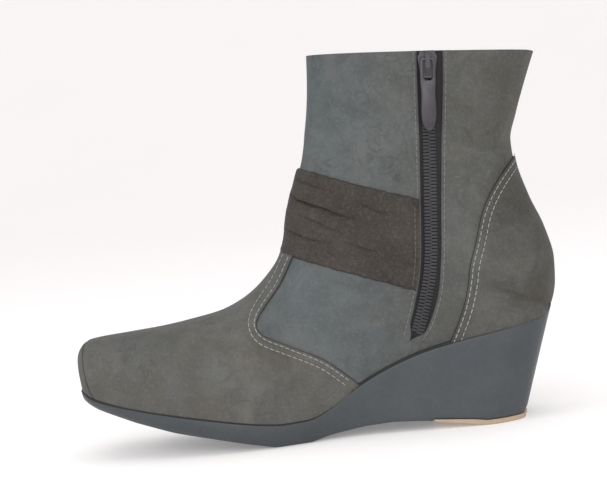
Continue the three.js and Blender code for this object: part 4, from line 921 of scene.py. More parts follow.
def stripPiece(name, start, end, width, thickness, base, pointed=0.0):
    start, end = np.array(start, float), np.array(end, float)
    length = np.linalg.norm(end - start)
    along = (end - start) / length
    across = np.array([-along[1], along[0]])
    half = width / 2
    endSteps = np.array([0, 0.08, 0.25, 0.55, 1.0, 1.7, 2.2, 2.8])
    middle = np.linspace(endSteps[-1], length - endSteps[-1], max(8, int(length / strip["step"])))
    runs = np.concatenate([endSteps, middle[1:-1], length - endSteps[::-1]])
    sideSteps = np.array([0, 0.08, 0.25, 0.55, 1.0, 1.5, 1.9, 2.3, 3.0])
    inner = np.linspace(sideSteps[-1], width - sideSteps[-1], 9)
    breadths = np.concatenate([sideSteps, inner[1:-1], width - sideSteps[::-1]])
    run, breadth = np.meshgrid(runs, breadths, indexing="ij")
    offset = breadth - half
    corner = np.clip(1 - run / 3.0, 0, 1) ** 2 + np.clip(1 - (length - run) / 3.0, 0, 1) ** 2
    narrowed = offset * (1 - strip["cornerCut"] * corner)
    taper = np.clip(1 - run / 6.0, 0, 1) * pointed
    moved = run + taper * np.abs(narrowed) * strip["pointReach"]
    place = start + along * moved[..., None] + across * narrowed[..., None]
    u, w = skinPlace(place[..., 0], place[..., 1], 1, 6.0)
    fromSide = half - np.abs(offset)
    edge = np.minimum(np.minimum(run, length - run), fromSide)
    free = rolled(edge, strip["round"]) + groove(fromSide, (strip["inset"],), strip["dip"], 0.4)
    baseAt = base(place[..., 1])
    top = skinPoint(u, w, baseAt + thickness * np.maximum(free, 0))
    under = skinPoint(u, w, baseAt - 0.02 + 0 * free)
    vertices, faces = layered([(top, under)])
    return addMesh(name, vertices, faces, finishes["strap"])


def eased(share):
    return share * share * (3 - 2 * share)


def loopBase(z):  # up over the band, down to the leather above and below it
    up = np.clip((z - loopStrap["bandFootZ"] + 1.5) / loopStrap["climb"], 0, 1)
    down = np.clip((loopStrap["bandTopZ"] + 1.0 - z) / loopStrap["climb"], 0, 1)
    return loopStrap["base"] + loopStrap["rise"] * eased(up) * eased(down)


def topStrapBase(z):
    return topStrap["base"] + 0 * z


loopStrap["ends"] = (loopStrap["footX"], loopStrap["footZ"]), (loopStrap["topX"], loopStrap["topZ"])
loopPiece = stripPiece("loop_strap", *loopStrap["ends"], loopStrap["width"], loopStrap["thickness"],
                       loopBase, pointed=0.5)
finishPiece(loopPiece, "boot", "leather", "band_loop")

topStrap["rearZ"] = topStrap["dropZ"] - topStrap["slope"] * (topStrap["rearX"] - topStrap["frontX"])
topStrap["ends"] = (topStrap["frontX"], topStrap["dropZ"]), (topStrap["rearX"], topStrap["rearZ"])
collarPiece = stripPiece("collar_strap_leather", *topStrap["ends"], topStrap["width"], topStrap["thickness"],
                         topStrapBase)
finishPiece(collarPiece, "boot", "leather", "collar_strap")
print("straps done")


# Wedge, the dark line painted as shade between upper and sole, heel lift and tread
wedge = {
    "margin": 1.8, "gap": 0.4, "lean": 17.0, "leanStart": 0.62, "tuck": 0.8, "round": 3.2,
    "roundedSide": 2.6, "ballEnd": 0.45, "heelStart": 0.65, "lift": 2.6, "liftFront": 0.715,
    "liftFull": 0.80, "liftLip": 0.4, "liftGap": 0.3, "arch": 6.0, "rowStep": 2.2,
}
# Share of the foot, of the toe spring and of the arch
underside = np.array([
    (0, 1.40, 0), (0.015, 1.24, 0), (0.040, 1.10, 0), (0.115, 0.79, 0), (0.190, 0.53, 0), (0.270, 0.33, 0),
    (0.345, 0.13, 0), (0.395, 0, 0), (0.465, 0, 0), (0.505, 0, 0.42), (0.575, 0, 0.85), (0.635, 0, 1),
    (0.700, 0, 0.86), (0.770, 0, 0.42), (0.825, 0, 0), (1, 0, 0),
])


def footShare(x):  # 0 at the toe, 1 at the heel
    return np.asarray(x) / last["footLength"] + 0.5


def floorGap(x):
    along = np.clip(footShare(x), 0, 1)
    return (last["toeSpring"] * np.interp(along, underside[:, 0], underside[:, 1])
            + wedge["arch"] * np.interp(along, underside[:, 0], underside[:, 2]))


def liftThickness(x):
    share = (footShare(x) - wedge["liftFront"]) / (wedge["liftFull"] - wedge["liftFront"])
    return wedge["lift"] * (wedge["liftLip"] + (1 - wedge["liftLip"]) * np.clip(share, 0, 1))


# Outline of the sole in plan, moved outwards: medial and lateral points on each row
def seamPlan(rows, distance):
    row = sectionAt(rows)
    medial = np.stack([row["backX"], -row["seamM"]], 1)
    lateral = np.stack([row["backX"], row["seamL"]], 1)[1:-1][::-1]
    loop = np.vstack([medial, lateral])
    along = toUnit(np.roll(loop, -1, axis=0) - np.roll(loop, 1, axis=0))
    moved = loop + np.stack([along[:, 1], -along[:, 0]], 1) * distance
    count = len(rows)
    other = np.concatenate([[0], np.arange(len(loop) - 1, count - 1, -1), [count - 1]])
    return moved[:count], moved[other]


def seamLevel(x):
    fine = np.linspace(0.3, closedRow, 700)
    row = sectionAt(fine)
    return np.interp(x, row["backX"], row["backZ"])


def leanAt(x):  # how far the heel's foot lies under the upper rim
    share = (footShare(x) - wedge["leanStart"]) / (1 - wedge["leanStart"])
    return wedge["lean"] * np.clip(share, 0, 1)


def toUnit(steps):
    return steps / np.maximum(np.linalg.norm(steps, axis=1, keepdims=True), 1e-9)


def wedgeLoops(rows, levels, insets):
    wide, seam = seamPlan(rows, wedge["margin"]), seamPlan(rows, 0)
    rounded, tucked = seamPlan(rows, -wedge["round"]), seamPlan(rows, -wedge["tuck"])
    loops = []
    for level, inset in zip(levels, insets):
        pair = []
        for side in (0, 1):
            top = wide[side]
            share = (footShare(top[:, 0]) - wedge["ballEnd"]) / (wedge["heelStart"] - wedge["ballEnd"])
            share = np.clip(share, 0, 1)[:, None]
            low = rounded[side] * (1 - share) + tucked[side] * share
            bend = wedge["roundedSide"] + (1 - wedge["roundedSide"]) * share
            point = top + (low - top) * level ** bend
            point = point + toUnit(seam[side] - wide[side]) * inset
            x = point[:, 0] - leanAt(point[:, 0]) * level
            foot = low[:, 0] - leanAt(low[:, 0])
            inLift = footShare(foot) > wedge["liftFront"]
            bottom = floorGap(foot) + np.where(inLift, liftThickness(foot) + wedge["liftGap"], 0)
            topZ = seamLevel(top[:, 0]) - wedge["gap"]
            pair.append(np.stack([x, point[:, 1], topZ * (1 - level) + bottom * level], 1))
        loops.append(pair)
    return loops


# Closed body from loops, each a medial and a lateral row.
# With a closed front the two rows share their first point.
def stackLoops(loops, closedFront=True):
    vertices, faces = [], []
    count = len(loops[0][0])
    ring = [(0, i) for i in range(count)] + [(1, i) for i in range(count - 2, 0 if closedFront else -1, -1)]
    for pair in loops:
        vertices += [pair[side][i] for side, i in ring]
    size = len(ring)
    for k in range(len(loops) - 1):
        for i in range(size):
            a, b = k * size + i, k * size + (i + 1) % size
            faces.append((a, b, b + size, a + size))
    where = {key: n for n, key in enumerate(ring)}
    for k, turned in ((0, False), (len(loops) - 1, True)):
        for i in range(count - 1):
            near, far = where[(0, i)], where[(0, i + 1)]
            corners = [near, far, where.get((1, i + 1), far), where.get((1, i), near)]
            face = [k * size + n for n in dict.fromkeys(corners)]
            if len(face) > 2:
                faces.append(tuple(face[::-1] if turned else face))
    return vertices, faces


def wedgePiece():
    fine = np.linspace(0, closedRow, 1200)
    row = sectionAt(fine)
    travel = np.concatenate([[0], np.cumsum(np.hypot(np.diff(row["backX"]), np.diff(row["seamM"])))])
    rows = np.interp(np.linspace(0, travel[-1], int(travel[-1] / wedge["rowStep"])), travel, fine)
    levels = [0, 0.0, 0.012, 0.035, 0.07, 0.2, 0.4, 0.6, 0.8, 0.93, 0.97, 0.99, 1.0, 1.0]
    insets = [2.4, 0.6, 0.15, 0.0, 0, 0, 0, 0, 0, 0, 0.05, 0.25, 0.7, 2.0]
    vertices, faces = stackLoops(wedgeLoops(rows, levels, insets))
    return addMesh("wedge_body", vertices, faces, finishes["rubber"], merge=0.01, smoothAngle=50)


wedgeBody = finishPiece(wedgePiece(), "boot", "sole_rubber", "wedge_sole")
print("wedge:", len(wedgeBody.data.polygons), "faces")


def heelLiftPiece():  # flat lift under the heel, with a rounded lower rim
    rows = np.linspace(12.5, closedRow, 70)
    top = wedgeLoops(rows, [1.0], [0.2])[0]
    kept = footShare(top[0][:, 0]) > wedge["liftFront"]
    loops = []
    for share, inset in ((0, 0.9), (0, 0.15), (0.08, 0.0), (0.5, 0.0), (0.9, 0.0), (0.98, 0.2), (1, 0.8)):
        pair = []
        for side in top:
            point = side[kept]
            centre = np.array([point[:, 0].mean() * 0.5 + 45.0, 0, 0])
            point = point + toUnit((centre - point) * np.array([1, 1, 0])) * inset
            low = floorGap(point[:, 0])
            high = low + liftThickness(point[:, 0])
            point[:, 2] = high + (low - high) * share
            pair.append(point)
        loops.append(pair)
    vertices, faces = stackLoops(loops, False)
    return addMesh("heel_lift_rubber", vertices, faces, finishes["lift"], merge=0.01)


finishPiece(heelLiftPiece(), "boot", "lift_rubber", "heel_lift")


# Tread under the ball of the foot: shallow bars across the sole, pressed a little into it
tread = {"from": 34.0, "to": 130.0, "pitch": 4.6, "width": 2.6, "height": 0.8, "inset": 7.5, "steps": 15,
         "wave": 1.1, "zigzag": 0.7, "sunk": 0.3}


def treadBars():
    rows = np.linspace(0.5, closedRow, 400)
    medial, lateral = wedgeLoops(rows, [1.0], [tread["inset"]])[0]
    vertices, faces = [], []
    for x in np.arange(tread["from"], tread["to"], tread["pitch"]) - halfFoot:
        low = np.interp(x, medial[:, 0], medial[:, 1])
        high = np.interp(x, lateral[:, 0], lateral[:, 1])
        ys = np.linspace(low, high, tread["steps"])
        start = len(vertices)
        for i, y in enumerate(ys):
            wave = tread["wave"] * math.cos((i / (tread["steps"] - 1) - 0.5) * math.pi * 2)
            wave += tread["zigzag"] * (-1) ** i
            for share, isFoot in ((-0.5, False), (-0.36, True), (0.36, True), (0.5, False)):
                there = x + wave + share * tread["width"]
                floor = float(floorGap(there))
                level = floor - min(tread["height"], floor) if isFoot else floor + tread["sunk"]
                vertices.append((there, y, level))
        for i in range(tread["steps"] - 1):
            for j in range(4):
                a = start + i * 4 + j
                b = start + i * 4 + (j + 1) % 4
                faces.append((a, a + 4, b + 4, b))
        faces.append(tuple(start + j for j in (0, 1, 2, 3)))
        faces.append(tuple(start + (tread["steps"] - 1) * 4 + j for j in (3, 2, 1, 0)))
    return addMesh("tread_bars", vertices, faces, finishes["rubber"], merge=0.005, smoothAngle=30)


finishPiece(treadBars(), "boot", "sole_rubber")


# Footbed and lining inside
inside = {"footbedBase": 0.3, "footbed": 3.2, "inset": 3.2, "lining": (-1.25, -1.95), "step": 4.0}


def footbedPiece():
    rows = np.linspace(0.6, closedRow, 110)
    loops = []
    for height, inset in ((inside["footbedBase"], 0.6), (inside["footbedBase"], 0.0), (2.4, 0.0), (2.9, 0.3),
                          (inside["footbed"], 1.2)):
        sides = seamPlan(rows, -inside["inset"] - inset)
        loops.append([np.stack([side[:, 0], side[:, 1], seamLevel(side[:, 0]) + height], 1)
                      for side in sides])
    vertices, faces = stackLoops(loops[::-1])
    return addMesh("footbed", vertices, faces, finishes["footbed"], merge=0.01)


finishPiece(footbedPiece(), "boot", "lining", "insole")


def liningPiece():
    rows = np.append(rowPlaces(inside["step"], 1.0, lastRow - 0.1), lastRow - 0.05)
    slotFront, slotRear = slotEdges(rows)
    slitFront, slitRear, _ = slitEdges(rows)
    layers = []
    insets = [0, 0.5, 2.0]
    panels = [(slotFront, slitFront, 34), (np.zeros_like(rows), slotRear, 12),
              (slitRear, np.full_like(rows, 2.0), 12)]
    for edgeA, edgeB, steps in panels:
        edgeA, edgeB = np.stack([rows, edgeA], 1), np.stack([rows, edgeB], 1)
        grid, fromA, _ = ruledGrid(edgeA, edgeB, insets, insets, steps)
        layers.append([skinPoint(grid[..., 0], grid[..., 1], depth + 0 * fromA)
                       for depth in inside["lining"]])
    vertices, faces = layered(layers)
    return addMesh("lining", vertices, faces, finishes["lining"])


finishPiece(liningPiece(), "boot", "lining")
print("inside done")


# Zip: woven tape in the slot, two rows of meshed teeth, slider and pull
zipper = {"tapeOuter": -1.35, "tapeInner": -2.0, "overlap": 4.5, "topZ": 202.5, "chainInset": 1.4,
          "chainWidth": 7.4, "chainTopZ": 201.5, "chainFootZ": 51.5, "toothPitch": 1.75, "toothLength": 1.5,
          "toothWidth": 3.9, "toothRise": 1.15, "toothRound": 0.32, "mesh": 0.40}
gusset = {"outer": -1.35, "inner": -2.1, "overlap": 5.0, "topZ": 202.0}


def addUV(piece, values):  # values: u and v of each vertex
    layer = piece.data.uv_layers.new(name="threads")
    for loop in piece.data.loops:
        layer.data[loop.index].uv = values[loop.vertex_index]


def clothBehind(name, side, frontX, frontZ, rearX, rearZ, outer, inner, finish, lowest):
    share = np.linspace(0, 1, 15)
    x = frontX[:, None] * (1 - share) + rearX[:, None] * share
    z = frontZ[:, None] * (1 - share) + rearZ[:, None] * share
    u, w = skinPlace(x, z, side, lowest)
    top, under = skinPoint(u, w, outer + 0 * x), skinPoint(u, w, inner + 0 * x)
    vertices, faces = layered([(top, under)])
    piece = addMesh(name, vertices, faces, finishes[finish], merge=0.001)
    flat = [(v.co.x, v.co.z) for v in piece.data.vertices]
    addUV(piece, flat)
    widths = np.linalg.norm(np.diff(top, axis=1), axis=2).sum(axis=1)
    length = float(np.linalg.norm(np.diff(top, axis=0), axis=2).sum(axis=0).max()) * mm
    return piece, float(widths.max()) * mm, length, float(widths.mean()) * mm * length


def zipTapePiece():
    high = np.linspace(0, 1, 60)
    front, rear = smoothLine(seams["slotFront"], high), smoothLine(seams["slotRear"], high)
    keep = front[:, 1] < zipper["topZ"]
    front, rear = front[keep], rear[keep]
    highest = zipper["topZ"] - 0.2
    frontZ, rearZ = np.minimum(front[:, 1], highest), np.minimum(rear[:, 1], highest)
    return clothBehind("zip_tape_cloth", -1, front[:, 0] - zipper["overlap"], frontZ,
                       rear[:, 0] + zipper["overlap"], rearZ,
                       zipper["tapeOuter"], zipper["tapeInner"], "tape", 12.0)


tapePiece, tapeWidth, tapeLength, tapeArea = zipTapePiece()
finishPiece(tapePiece, "boot", "zip_tape", "zip_tape")


def gussetPiece():
    high = np.linspace(0, 1, 24)
    x = shaft["slitFootX"] + (shaft["slitX"] - shaft["slitFootX"]) * high
    lowZ = shaft["slitFootZ"] - gusset["overlap"]
    z = lowZ + (gusset["topZ"] - lowZ) * high
    half = shaft["slitHalf"] * high + gusset["overlap"]
    return clothBehind("gusset_cloth", 1, x - half, z, x + half, z, gusset["outer"], gusset["inner"],
                       "gusset", 20.0)


gussetCloth, gussetWidth, gussetLength, gussetArea = gussetPiece()
finishPiece(gussetCloth, "boot", "gusset_cloth", "gusset")


# Points on the skin, and their normals, under a line in the side view
def onSkin(line, side, offset, lowest):
    u, w = skinPlace(line[:, 0], line[:, 1], side, lowest)
    return skinPoint(u, w, np.zeros(len(u)) + offset), bareNormal(u, w)


def evenly(points, extras, spacing):  # resample a line of points, and what goes with it, at an even spacing
    travel = travelled(points)
    at = np.linspace(0, travel[-1], max(2, int(travel[-1] / spacing) + 1))
    return pickAt(at, travel, points), [pickAt(at, travel, extra) for extra in extras]


def frameAt(point, along, normal):
    along = along / np.linalg.norm(along)
    across = np.cross(along, normal)
    across /= np.linalg.norm(across)
    normal = np.cross(across, along)
    return np.stack([across, along, normal], axis=1), point


# One modelled shape, set at every frame
def repeated(name, shape, shapeFaces, frames, finish, smoothAngle=45):
    vertices, faces = [], []
    shape = np.asarray(shape, float)
    for turn, place in frames:
        start = len(vertices)
        vertices += list(shape @ turn.T + place)
        faces += [tuple(start + k for k in face) for face in shapeFaces]
    mesh = bpy.data.meshes.new(name)
    mesh.from_pydata([tuple(v) for v in np.array(vertices) * mm], [], faces)
    piece = bpy.data.objects.new(name, mesh)
    bpy.context.scene.collection.objects.link(piece)
    mesh.materials.append(finishes[finish])
    for polygon in mesh.polygons:
        polygon.use_smooth = True
    mesh.set_sharp_from_angle(angle=math.radians(smoothAngle))
    return piece


def opsShape(maker):  # vertices in millimetres and faces of a shape modelled with the usual tools
    maker()
    piece = bpy.context.object
    vertices = [tuple(v.co / mm) for v in piece.data.vertices]
    faces = [tuple(p.vertices) for p in piece.data.polygons]
    bpy.data.objects.remove(piece)
    return vertices, faces


def toothShape():
    bpy.ops.object.select_all(action="DESELECT")
    bpy.ops.mesh.primitive_cube_add(size=1, location=(0, 0, 0))
    bpy.ops.object.mode_set(mode="EDIT")
    size = (zipper["toothWidth"], zipper["toothLength"], zipper["toothRise"])
    bpy.ops.transform.resize(value=[side * mm for side in size])
    bpy.ops.mesh.bevel(offset=zipper["toothRound"] * mm, segments=2, affect="EDGES")
    bpy.ops.object.mode_set(mode="OBJECT")


def zipTeeth():
    shape, shapeFaces = opsShape(toothShape)
    front = smoothLine(seams["slotFront"], 200)
    front = front[(front[:, 1] < zipper["chainTopZ"]) & (front[:, 1] > zipper["chainFootZ"])]
    centre = zipper["chainInset"] + zipper["chainWidth"] / 2
    line = front + np.array([centre, 0])
    points, normals = onSkin(line, -1, zipper["tapeOuter"] + zipper["toothRise"] / 2 + 0.15, 12.0)
    points, (normals,) = evenly(points, [normals], zipper["toothPitch"] / 2)
    frames = []
    for k in range(1, len(points) - 1):
        turn, place = frameAt(points[k], points[k + 1] - points[k - 1], normals[k])
        side = 1 if k % 2 else -1
        frames.append((turn, place + turn[:, 0] * side * zipper["toothWidth"] * zipper["mesh"]))
    return repeated("zip_teeth_rows", shape, shapeFaces, frames, "teeth")


teethPiece = finishPiece(zipTeeth(), "boot", "zip_teeth", "zip_chain")
print("zip:", len(teethPiece.data.polygons), "faces")


# Stitches: one short capsule, set along every sewn row
stitch = {"length": 2.5, "gap": 0.75, "radius": 0.26, "flat": 0.75, "sides": 8, "above": 0.12,
          "zipInset": 1.7, "zipRise": 0.08, "finePitch": 2.9}


def stitchShape():
    bpy.ops.object.select_all(action="DESELECT")
    bpy.ops.mesh.primitive_uv_sphere_add(segments=stitch["sides"], ring_count=6, radius=stitch["radius"] * mm,
                                         rotation=(math.pi / 2, 0, 0))
    bpy.ops.object.transform_apply(location=True, rotation=True, scale=True)
    piece = bpy.context.object
    reach = (stitch["length"] / 2 - stitch["radius"]) * mm
    for vertex in piece.data.vertices:
        if abs(vertex.co.y) > 1e-6:
            vertex.co.y += math.copysign(reach, vertex.co.y)
        vertex.co.z *= stitch["flat"]


stitchForm, stitchFaces = opsShape(stitchShape)


def sewnRow(points, normals, pitch=None):
    pitch = pitch or stitch["length"] + stitch["gap"]
    points, (normals,) = evenly(points, [normals], pitch / 2)
    middles = range(1, len(points) - 1, 2)
    return [frameAt(points[k], points[k + 1] - points[k - 1], normals[k]) for k in middles]


# Row of stitches beside a seam, distance to the left of its direction in the side view
def besideSeam(name, side, distance, offset, start, end, lowest):
    count = 260
    line = smoothLine(seams[name], count)
    along = np.gradient(line, axis=0)
    along /= np.linalg.norm(along, axis=1, keepdims=True)
    line = line + np.stack([-along[:, 1], along[:, 0]], 1) * distance
    line = line[int(start * count):int(end * count)]
    for _ in range(40):  # eases the turn of a row that runs inside a tight curve
        line[1:-1] = (line[:-2] + line[1:-1] + line[2:]) / 3
    points, normals = onSkin(line, side, offset, lowest)
    return sewnRow(points, normals)


def sewing():
    pale = []
    high = overlay["base"] + overlay["thickness"] - overlay["dip"] + stitch["above"]
    for distance in overlay["stitchRows"]:
        pale += besideSeam("vampMedial", -1, -distance, high, 0.01, 0.86, 4.0)
        pale += besideSeam("vampLateral", 1, -distance, high, 0.045, 0.88, 4.0)
        pale += besideSeam("counterMedial", -1, distance, high, 0.03, 0.93, 12.0)
        pale += besideSeam("counterLateral", 1, distance, high, 0.03, 0.93, 12.0)
    return repeated("seam_stitches", stitchForm, stitchFaces, pale, "thread", 80)


def zipSewing():
    inset, high = stitch["zipInset"], stitch["zipRise"]
    rows = besideSeam("slotFront", -1, -inset, high, 0.065, 0.985, 12.0)
    rows += besideSeam("slotRear", -1, inset, high, 0.065, 0.955, 12.0)
    return repeated("zip_stitches", stitchForm, stitchFaces, rows, "greyThread", 80)


stitches = finishPiece(sewing(), "boot", "leather")
finishPiece(zipSewing(), "boot", "leather")
print("stitches:", len(stitches.data.polygons), "faces")


# Dark tube where the upper meets the sole, painted shade of the gap between them
gapShade = {"radius": 0.92, "outset": 1.15, "drop": 0.05, "sides": 8}


def tubeAround(name, path, radius, finish):  # round section carried along a closed path
    ahead = toUnit(np.roll(path, -1, axis=0) - np.roll(path, 1, axis=0))
    across = toUnit(np.cross(ahead, np.array([0, 0, 1.0])))
    upward = np.cross(across, ahead)
    angles = np.linspace(0, 2 * math.pi, gapShade["sides"], endpoint=False)
    turns = (np.cos(angles)[None, :, None] * across[:, None]
             + np.sin(angles)[None, :, None] * upward[:, None])
    rings = path[:, None] + radius * turns
    count, sides = rings.shape[:2]
    faces = []
    for i in range(count):
        for j in range(sides):
            a, b = i * sides + j, i * sides + (j + 1) % sides
            c, d = ((i + 1) % count) * sides + (j + 1) % sides, ((i + 1) % count) * sides + j
            faces.append((a, b, c, d))
    return addMesh(name, rings.reshape(-1, 3), faces, finishes[finish], merge=0.001, smoothAngle=80)


def gapShadeLine():
    rows = np.unique(np.concatenate([np.linspace(0.25, 5, 40), np.linspace(5, closedRow - 0.02, 200)]))
    medial, lateral = seamPlan(rows, gapShade["outset"])
    loop = np.vstack([medial, lateral[::-1]])
    z = seamLevel(loop[:, 0]) + gapShade["drop"]
    path = np.stack([loop[:, 0], loop[:, 1], z], 1)
    path, _ = evenly(np.vstack([path, path[:1]]), [], 2.0)
    return tubeAround("gap_shade_line", path[:-1], gapShade["radius"], "gapShadeDark")


finishPiece(gapShadeLine(), "boot", "sole_rubber")


# More sewing: loop, collar strap, gusset and the band's end at the zip
def stripRows(piece, base, margin):  # a row along each side of a strap
    start, end = (np.array(point, float) for point in piece["ends"])
    along = (end - start) / np.linalg.norm(end - start)
    across = np.array([-along[1], along[0]]) * (piece["width"] / 2 - strip["inset"])
    frames = []
    for sign in (-1, 1):
        line = smoothLine([start + along * margin + across * sign, end - along * margin + across * sign], 60)
        points, normals = onSkin(line, 1, base(line[:, 1]) + piece["thickness"] - 0.02, 6.0)
        frames += sewnRow(points, normals, stitch["finePitch"])
    return frames


def strapSewing():
    frames = stripRows(loopStrap, loopBase, 3.0) + stripRows(topStrap, topStrapBase, 2.2)
    for sign in (-1, 1):  # the two rows that hold the gusset, down to a point under the slit
        line = smoothLine([(shaft["slitX"] + sign * (shaft["slitHalf"] + 2.2), 199.5),
                           (shaft["slitFootX"] + sign * 2.6, shaft["slitFootZ"]), (202.2, 151.5)], 80)
        points, normals = onSkin(line, 1, 0.10, 20.0)
        frames += sewnRow(points, normals, stitch["finePitch"])
    return repeated("strap_stitches", stitchForm, stitchFaces, frames, "thread", 80)


def bandSewing():
    line = smoothLine(seams["slotFront"], 260)
    line = line[(line[:, 1] < gathered["sewnTopZ"]) & (line[:, 1] > gathered["sewnFootZ"])]
    line = line - np.array([gathered["sewnInset"], 0])
    points, normals = onSkin(line, -1, gathered["base"] + gathered["thickness"] - 0.08, 12.0)
    frames = sewnRow(points, normals, stitch["finePitch"])
    return repeated("band_stitches", stitchForm, stitchFaces, frames, "darkThread", 80)


finishPiece(strapSewing(), "boot", "leather")
finishPiece(bandSewing(), "boot", "suede")


# Metal: studs, keeper and pull, modelled at the origin and set into their frames; the frame's slider gets the
# dark metal
hardware = {
    "loopStud": {"origin": (43.92, 36.52, 82.83), "normal": (0.0, 0.9946, 0.1036), "diameter": 11.0,
                 "rise": 3.85},
    "strapStud": {"origin": (104.82, 26.76, 173.53), "normal": (0.448, 0.8695, -0.2077), "diameter": 10.0,
                  "rise": 2.25},
    "rim": 0.9, "dome": 3.4, "domeSteps": 9, "domeInset": 0.7, "keeperWire": 2.2, "keeperArm": 9.0,
    "keeper": {"origin": (32.23, 27.46, 177.48), "x": (0.9468, 0.3214, -0.0136),
               "y": (0.0, -0.0424, -0.9991), "z": (-0.3217, 0.946, -0.04)},
    "pullLength": 38.0, "pullWidth": 8.0, "pullThickness": 1.5, "pullBar": 0.75,
    "zip": {"origin": (70.2213, -36.5344, 194.1845), "x": (0.9981, -0.0015, -0.0611),
            "y": (0.0606, -0.1072, 0.9924), "z": (-0.0081, -0.9942, -0.107)},
}


def setInFrame(piece, origin, x, y, z):  # from the origin to its place, with its own x, y and z there
    turn = Matrix((x, y, z)).transposed().to_4x4()
    piece.data.transform(Matrix.Translation(Vector(origin) * mm) @ turn)
    piece.data.update()


def clearSelection():
    bpy.ops.object.select_all(action="DESELECT")


def finishedBevel(piece, width):
    bpy.context.view_layer.objects.active = piece
    bevel = piece.modifiers.new("rim", "BEVEL")
    bevel.width = width * mm
    bevel.segments = 2
    bevel.limit_method = "ANGLE"
    bevel.angle_limit = math.radians(35)
    bpy.ops.object.modifier_apply(modifier=bevel.name)


def studPiece(name, data, node):
    clearSelection()
    radius = data["diameter"] / 2
    bpy.ops.mesh.primitive_cylinder_add(vertices=56, radius=radius * mm, depth=hardware["rim"] * mm,
                                        location=(0, 0, hardware["rim"] / 2 * mm))
    piece = bpy.context.object
    piece.name = name
    bpy.ops.object.transform_apply(location=True, rotation=True, scale=True)
    bpy.ops.object.mode_set(mode="EDIT")
    bpy.ops.mesh.select_all(action="DESELECT")
    bpy.ops.mesh.select_mode(type="FACE")
    bm = bmesh.from_edit_mesh(piece.data)
    for face in bm.faces:
        face.select = face.normal.z > 0.9
    bmesh.update_edit_mesh(piece.data)
    bpy.ops.mesh.inset(thickness=0.55 * mm)
    bpy.ops.mesh.extrude_region_move(TRANSFORM_OT_translate={"value": (0, 0, -0.25 * mm)})
    bpy.ops.mesh.inset(thickness=0.15 * mm)
    steps = hardware["domeSteps"]
    angles = [k / steps * math.pi / 2 for k in range(steps)]
    for low, high in zip(angles, angles[1:]):  # the dome rises ring by ring
        rise = (math.sin(high) - math.sin(low)) * (hardware["dome"] - hardware["domeInset"])
        bpy.ops.mesh.extrude_region_move(TRANSFORM_OT_translate={"value": (0, 0, rise * mm)})
        scale = math.cos(high) / math.cos(low)
        bpy.ops.transform.resize(value=(scale, scale, 1))
    tip = 0.02 * (radius - hardware["domeInset"])
    bpy.ops.mesh.extrude_region_move(TRANSFORM_OT_translate={"value": (0, 0, tip * mm)})
    bpy.ops.mesh.merge(type="CENTER")
    bpy.ops.object.mode_set(mode="OBJECT")
    bpy.ops.object.shade_smooth_by_angle(angle=math.radians(38))
    piece.data.materials.append(finishes["gold"])
    normal = Vector(data["normal"]).normalized()
    across = Vector((0, 0, 1)).cross(normal).normalized()
    setInFrame(piece, Vector(data["origin"]) + normal * data["rise"], across, normal.cross(across), normal)
    return finishPiece(piece, "boot", "gold", node)


studPiece("loop_stud_dome", hardware["loopStud"], "loop_stud")
studPiece("strap_stud_dome", hardware["strapStud"], "strap_stud")


def keeperPiece():  # one bent wire: round section carried along an open ring
    half = topStrap["width"] / 2 + 0.3 + hardware["keeperWire"] / 2
    arm = hardware["keeperArm"]
    bend = half * 0.62
    angles = np.linspace(0, math.pi / 2, 9)
    path = [(arm, half), (bend, half)]
    path += [(bend - bend * math.sin(a), half - bend + bend * math.cos(a)) for a in angles[1:]]
    path += [(bend - bend * math.cos(a), -half + bend - bend * math.sin(a)) for a in angles]
    path += [(arm, -half)]
    curve = bpy.data.curves.new("keeperPath", "CURVE")
    curve.dimensions = "3D"
    curve.bevel_depth = hardware["keeperWire"] / 2 * 0.96 * mm
    curve.bevel_resolution = 5
    curve.use_fill_caps = True
    spline = curve.splines.new("POLY")
    spline.points.add(len(path) - 1)
    for point, (x, y) in zip(spline.points, path):
        point.co = (x * mm, y * mm, 0, 1)
    wire = bpy.data.objects.new("keeper_wire", curve)
    bpy.context.scene.collection.objects.link(wire)
    clearSelection()
    wire.select_set(True)
    bpy.context.view_layer.objects.active = wire
    bpy.ops.object.convert(target="MESH")
    piece = bpy.context.object
    data = hardware["keeper"]
    place = Vector(data["origin"]) + Vector(data["z"]) * (0.6 + hardware["keeperWire"] / 2)
    setInFrame(piece, place, data["x"], data["y"], data["z"])
    bpy.ops.object.shade_smooth_by_angle(angle=math.radians(50))
    piece.data.materials.clear()
    piece.data.materials.append(finishes["paleMetal"])
    return finishPiece(piece, "boot", "pale_metal", "strap_keeper")


keeperPiece()


